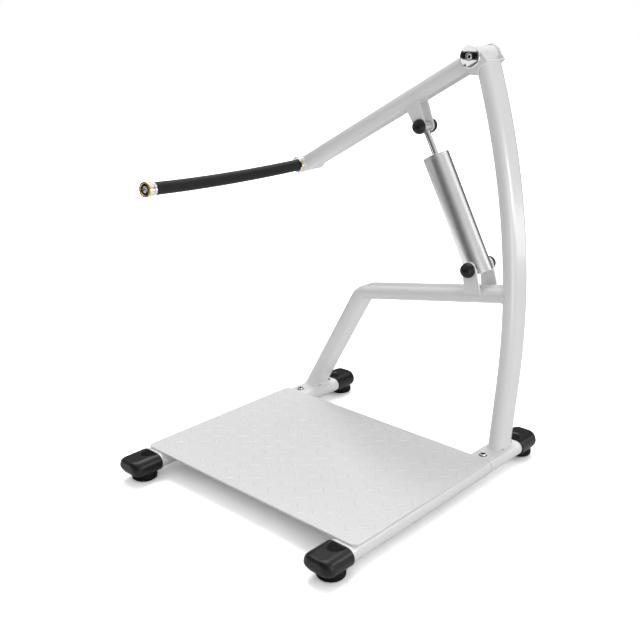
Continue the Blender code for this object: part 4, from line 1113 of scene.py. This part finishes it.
def clevises():
    centre_line = Vector((KNEE_X, UPRIGHT_Y, run_height(KNEE_X)))
    height = (LOWER_PIN - centre_line).dot(RUN_UPWARD)
    outline = lug_outline(0.020, 0.0224, 0.0276, height - TUBE_DEPTH / 2 + 0.012)
    place = axes_at(LOWER_PIN, RUN_DIRECTION, -Y_AXIS)
    for end, side in (("front", -1), ("rear", 1)):
        low, high = sorted((-side * LOWER_PLATE_INNER, -side * LOWER_PLATE_OUTER))
        tool = tube_along(brace_path(), Y_AXIS, TUBE_WIDTH - 0.0006, TUBE_DEPTH - 0.0006)
        clevis_plate(f"lower_plate_{end}", outline, low, high, place, *ON_FRAME,
                     f"lower_clevis_plate_{end}", [tool])
        cap_place = axes_at(LOWER_PIN + Y_AXIS * side * LOWER_PLATE_OUTER, X_AXIS, Y_AXIS * side)
        dome(f"lower_cap_{end}", cap_place, 0.0047, *ON_FRAME, f"lower_pin_cap_{end}")

    pin = Vector((UPPER_PIN_ALONG, 0, -UPPER_PIN_BELOW))
    drop = UPPER_PIN_BELOW - TUBE_DEPTH / 2 + 0.0004
    outline = lug_outline(0.0165, 0.0214, 0.0246, drop)
    place = axes_at(pin, -X_AXIS, -Y_AXIS)
    for end, side in (("front", 1), ("rear", -1)):
        low, high = sorted((-side * UPPER_PLATE_INNER, -side * UPPER_PLATE_OUTER))
        clevis_plate(f"upper_plate_{end}", outline, low, high, place, *ON_ARM, f"upper_clevis_plate_{end}")
        cap_place = axes_at(pin + Y_AXIS * side * UPPER_PLATE_OUTER, X_AXIS, Y_AXIS * side)
        dome(f"upper_cap_{end}", cap_place, 0.0007, *ON_ARM, f"upper_pin_cap_{end}")
        y = side * UPPER_PLATE_OUTER
        z = -inside_oval(y)
        seam = [Vector((UPPER_PIN_ALONG - 0.0246 + 0.046 * step / 24, y, z)) for step in range(25)]
        weld = bead(seam, PLATE_WELD, closed=False)
        piece(f"upper_plate_weld_{end}", weld, WHITE, *ON_ARM)


def rod():
    half = UPPER_PLATE_INNER - GAP
    eye = moved(plain_round(EYE_RADIUS, -half, half, 72), ACROSS)
    shank = lathe([(0, -0.019), (0.0088, -0.019), (0.0097, -0.0178), (0.0097, 0)], 48, ease=0)
    eye = carved(eye, [shank], "UNION")
    bush_seat = moved(plain_round(BUSH_RADIUS, -0.06, 0.06, 56), ACROSS)
    piece("eye", carved(eye, [bush_seat]), STEEL, *ON_ROD, ("rod_eye",), bevel=0.0006)

    top = -0.0105
    shaft = lathe([(0, -ROD_LENGTH), (ROD_RADIUS, -ROD_LENGTH), (ROD_RADIUS, top), (0, top)], 56, ease=0.0005)
    piece("rod_shaft", shaft, CHROME, *ON_ROD, ("piston_rod",), crease=60)


def pin_slot():
    """The tool that cuts the slot for the lower pin."""
    return moved(prism(oval(SLOT_LENGTH, SLOT_HEIGHT), -0.07, 0.07), side_view(Vector()))


def cylinder():
    outer = CYLINDER_RADIUS
    foot_top = CYLINDER_BOTTOM + CYLINDER_FLANGE / 2
    body_top = CYLINDER_TOP - CYLINDER_FLANGE
    barrel = sleeve(outer, CYLINDER_BORE_RADIUS, foot_top + GAP, body_top - GAP, 96, 0.0004)
    piece("barrel_tube", carved(barrel, [pin_slot()]), BRUSHED, *ON_CYLINDER, ("cylinder_tube",), crease=50)

    plug = CYLINDER_BORE_RADIUS - GAP
    foot = lathe([
        (0, CYLINDER_BOTTOM), (outer - 0.0010, CYLINDER_BOTTOM), (outer, CYLINDER_BOTTOM + 0.0010),
        (outer, foot_top), (plug, foot_top), (plug, 0.025), (0, 0.025),
    ], 96, ease=0.0004)
    piece("barrel_foot", carved(foot, [pin_slot()]), BRUSHED, *ON_CYLINDER, ("cylinder_base",), crease=50)

    bore = ROD_RADIUS + GAP
    seat = 0.0133
    top = CYLINDER_TOP
    gland = lathe([
        (bore, body_top - 0.025), (plug, body_top - 0.025), (plug, body_top), (outer, body_top),
        (outer, top - 0.0010), (outer - 0.0012, top), (outer - 0.0062, top), (outer - 0.0070, top - 0.0009),
        (seat + 0.0042, top - 0.0009), (seat + 0.0034, top), (seat, top), (seat, top - 0.004),
        (bore, top - 0.004),
    ], 96, True, 0.0004)
    piece("barrel_gland", gland, BRUSHED, *ON_CYLINDER, ("cylinder_gland",), crease=50)
    wiper = sleeve(0.0130, bore, top - 0.0037, top - 0.0003, 56, 0.0006)
    piece("wiper", wiper, "seal_rubber", *ON_CYLINDER, ("rod_wiper",), crease=60)


# Frame nodes that stay, with finer materials


def finish_kept_nodes():
    for item in frame["record"]["subparts"]:
        node = frame["nodes"][item["node"]]
        for index in range(len(node.material_slots)):
            node.material_slots[index].material = FINISHES[item["material_slot"]]


# Floor, light and camera

CAMERA_PLACE = Vector((1.79953, -1.28415, 1.17258))
CAMERA_PITCH = radians(71.30)
CAMERA_HEADING = radians(42.2735)
CAMERA_LENS = 50.996
CAMERA_SENSOR = 36
FLOOR_REACH = 30
FLOOR_BOUNCE = 0.58
FLOOR_SEEN = 2.1
SKY = 0.50


def seen_directly(tree):
    """1 for what the camera sees, straight or in metal or glass, and 0 for light that scatters."""
    path = tree.nodes.new("ShaderNodeLightPath")
    total = path.outputs["Is Camera Ray"]
    for name in ("Is Glossy Ray", "Is Transmission Ray"):
        either = tree.nodes.new("ShaderNodeMath")
        either.operation = "MAXIMUM"
        tree.links.new(total, either.inputs[0])
        tree.links.new(path.outputs[name], either.inputs[1])
        total = either.outputs["Value"]
    return total


def camera():
    data = bpy.data.cameras.new("camera")
    data.lens = CAMERA_LENS
    data.sensor_width = CAMERA_SENSOR
    made = linked("camera", data)
    made.location = CAMERA_PLACE + ORIGIN
    made.rotation_euler = (CAMERA_PITCH, 0, CAMERA_HEADING)
    bpy.context.scene.camera = made


def floor():
    """White to the camera and in reflections, and a softer grey in the light that it throws back."""
    mesh = bmesh.new()
    sides = ((-1, -1), (1, -1), (1, 1), (-1, 1))
    mesh.faces.new([mesh.verts.new((x * FLOOR_REACH, y * FLOOR_REACH, 0)) for x, y in sides])
    data = mesh_data("floor", mesh)
    material = bpy.data.materials.new("pale_floor")
    material.use_nodes = True
    tree = material.node_tree
    shade = tree.nodes.new("ShaderNodeMix")
    shade.data_type = "RGBA"
    shade.inputs["A"].default_value = (FLOOR_BOUNCE, FLOOR_BOUNCE, FLOOR_BOUNCE, 1)
    shade.inputs["B"].default_value = (1, 1, 1, 1)
    tree.links.new(seen_directly(tree), shade.inputs["Factor"])
    bright = tree.nodes.new("ShaderNodeMix")
    bright.data_type = "RGBA"
    bright.inputs["B"].default_value = (FLOOR_SEEN, FLOOR_SEEN, FLOOR_SEEN, 1)
    path = tree.nodes.new("ShaderNodeLightPath")
    tree.links.new(path.outputs["Is Camera Ray"], bright.inputs["Factor"])
    tree.links.new(shade.outputs["Result"], bright.inputs["A"])
    paint = tree.nodes.new("ShaderNodeBsdfDiffuse")
    tree.links.new(bright.outputs["Result"], paint.inputs["Color"])
    tree.links.new(paint.outputs["BSDF"], tree.nodes["Material Output"].inputs["Surface"])
    data.materials.append(material)
    made = linked("floor", data)


def surroundings(strength):
    """Even grey light for the object, and white for what the camera and polished metal see."""
    sky = bpy.data.worlds.new("studio")
    bpy.context.scene.world = sky
    sky.use_nodes = True
    nodes = sky.node_tree.nodes
    links = sky.node_tree.links
    ground = nodes["Background"]
    ground.inputs["Color"].default_value = (1, 1, 1, 1)
    ground.inputs["Strength"].default_value = strength
    seen = nodes.new("ShaderNodeBackground")
    seen.inputs["Color"].default_value = (1, 1, 1, 1)
    seen.inputs["Strength"].default_value = 1.0
    mix = nodes.new("ShaderNodeMixShader")
    links.new(seen_directly(sky.node_tree), mix.inputs["Fac"])
    links.new(ground.outputs["Background"], mix.inputs[1])
    links.new(seen.outputs["Background"], mix.inputs[2])
    links.new(mix.outputs["Shader"], nodes["World Output"].inputs["Surface"])


def sun(name, strength, spread, azimuth, elevation):
    """A wide soft light from a direction; azimuth 0 comes from +X and 90 from +Y."""
    data = bpy.data.lights.new(name, "SUN")
    data.energy = strength
    data.angle = radians(spread)
    made = linked(name, data)
    a, e = radians(azimuth), radians(elevation)
    towards = Vector((cos(a) * cos(e), sin(a) * cos(e), sin(e)))
    made.rotation_euler = (-towards).to_track_quat("-Z", "Y").to_euler()


def value_at(rows, azimuth, column):
    for low, high in zip(rows, rows[1:]):
        if azimuth <= high[0]:
            return low[column] + (high[column] - low[column]) * (azimuth - low[0]) / (high[0] - low[0])
    return rows[-1][column]


def card(name, distance, rows):
    """A curved studio panel that only reflections show.

    Each row is an azimuth, the low and the high edge, and a shade. Azimuth 0 is towards +X and 90 towards +Y.
    """
    mesh = bmesh.new()
    layer = mesh.verts.layers.float.new("shade")
    first, last = rows[0][0], rows[-1][0]
    steps = max(4, round((last - first) / 3))
    posts = []
    for step in range(steps + 1):
        azimuth = first + (last - first) * step / steps
        x = distance * cos(radians(azimuth))
        y = distance * sin(radians(azimuth))
        posts.append([mesh.verts.new((x, y, value_at(rows, azimuth, edge))) for edge in (1, 2)])
        for vertex in posts[-1]:
            vertex[layer] = value_at(rows, azimuth, 3)
    for (a, b), (c, d) in zip(posts, posts[1:]):
        mesh.faces.new((a, c, d, b))
    data = mesh_data(name, mesh)
    material = bpy.data.materials.new(name)
    material.use_nodes = True
    nodes = material.node_tree.nodes
    shade = nodes.new("ShaderNodeAttribute")
    shade.attribute_name = "shade"
    glow = nodes.new("ShaderNodeEmission")
    material.node_tree.links.new(shade.outputs["Fac"], glow.inputs["Strength"])
    material.node_tree.links.new(glow.outputs["Emission"], nodes["Material Output"].inputs["Surface"])
    data.materials.append(material)
    made = linked(name, data)
    made.visible_camera = False
    made.visible_diffuse = False
    made.visible_shadow = False
    made.visible_transmission = False


camera()
floor()
bpy.context.scene.view_settings.view_transform = "Standard"
surroundings(SKY)
sun("key", 1.47, 40, 127, 63)
sun("fill", 0.76, 50, -5, 15)
card("grey_card", 1.4, (
    (-180, 0, 0.45, 0.28), (-136, 0, 0.50, 0.27), (-114, 0, 0.70, 0.19), (-101, 0, 0.86, 0.11),
    (-99, 0, 1.9, 0.10), (-85, 0, 1.9, 0.07), (-72, 0, 2.0, 0.09), (-60, 0, 2.0, 0.18),
    (-37, 0, 2.0, 0.36), (-9, 0, 2.0, 0.50), (22, 0, 2.0, 0.80), (40, 0, 2.0, 1.0),
))
card("black_card_high", 1.9, (
    (-200, 0.92, 1.34, 0.02), (-140, 0.90, 1.30, 0.02), (-136, 0.84, 1.22, 0.01), (-126, 0.81, 1.26, 0.01),
    (-92, 0.81, 1.28, 0.01),
))
card("black_card_low", 1.12, ((-135, 0.65, 0.76, 0.01), (-129, 0.65, 0.76, 0.01)))
card("back_card", 1.9, ((60, 0, 1.6, 0.06), (100, 0, 1.6, 0.08), (150, 0, 1.6, 0.16), (180, 0, 1.6, 0.26)))
card("shoulder_light", 1.35, (
    (18, 0.79, 1.12, 13.0), (29, 0.69, 0.99, 13.0), (34, 0.64, 0.94, 5.0), (60, 0.38, 0.60, 2.5),
))
card("post_light", 1.37, ((-26, 0, 0.92, 0.6), (-14, 0, 0.92, 3.6), (-6, 0, 0.92, 3.6), (6, 0, 0.92, 0.8)))

finish_kept_nodes()
runners()
platform()
uprights()
bracket()
arm()
handle()
clevises()
rod()
cylinder()
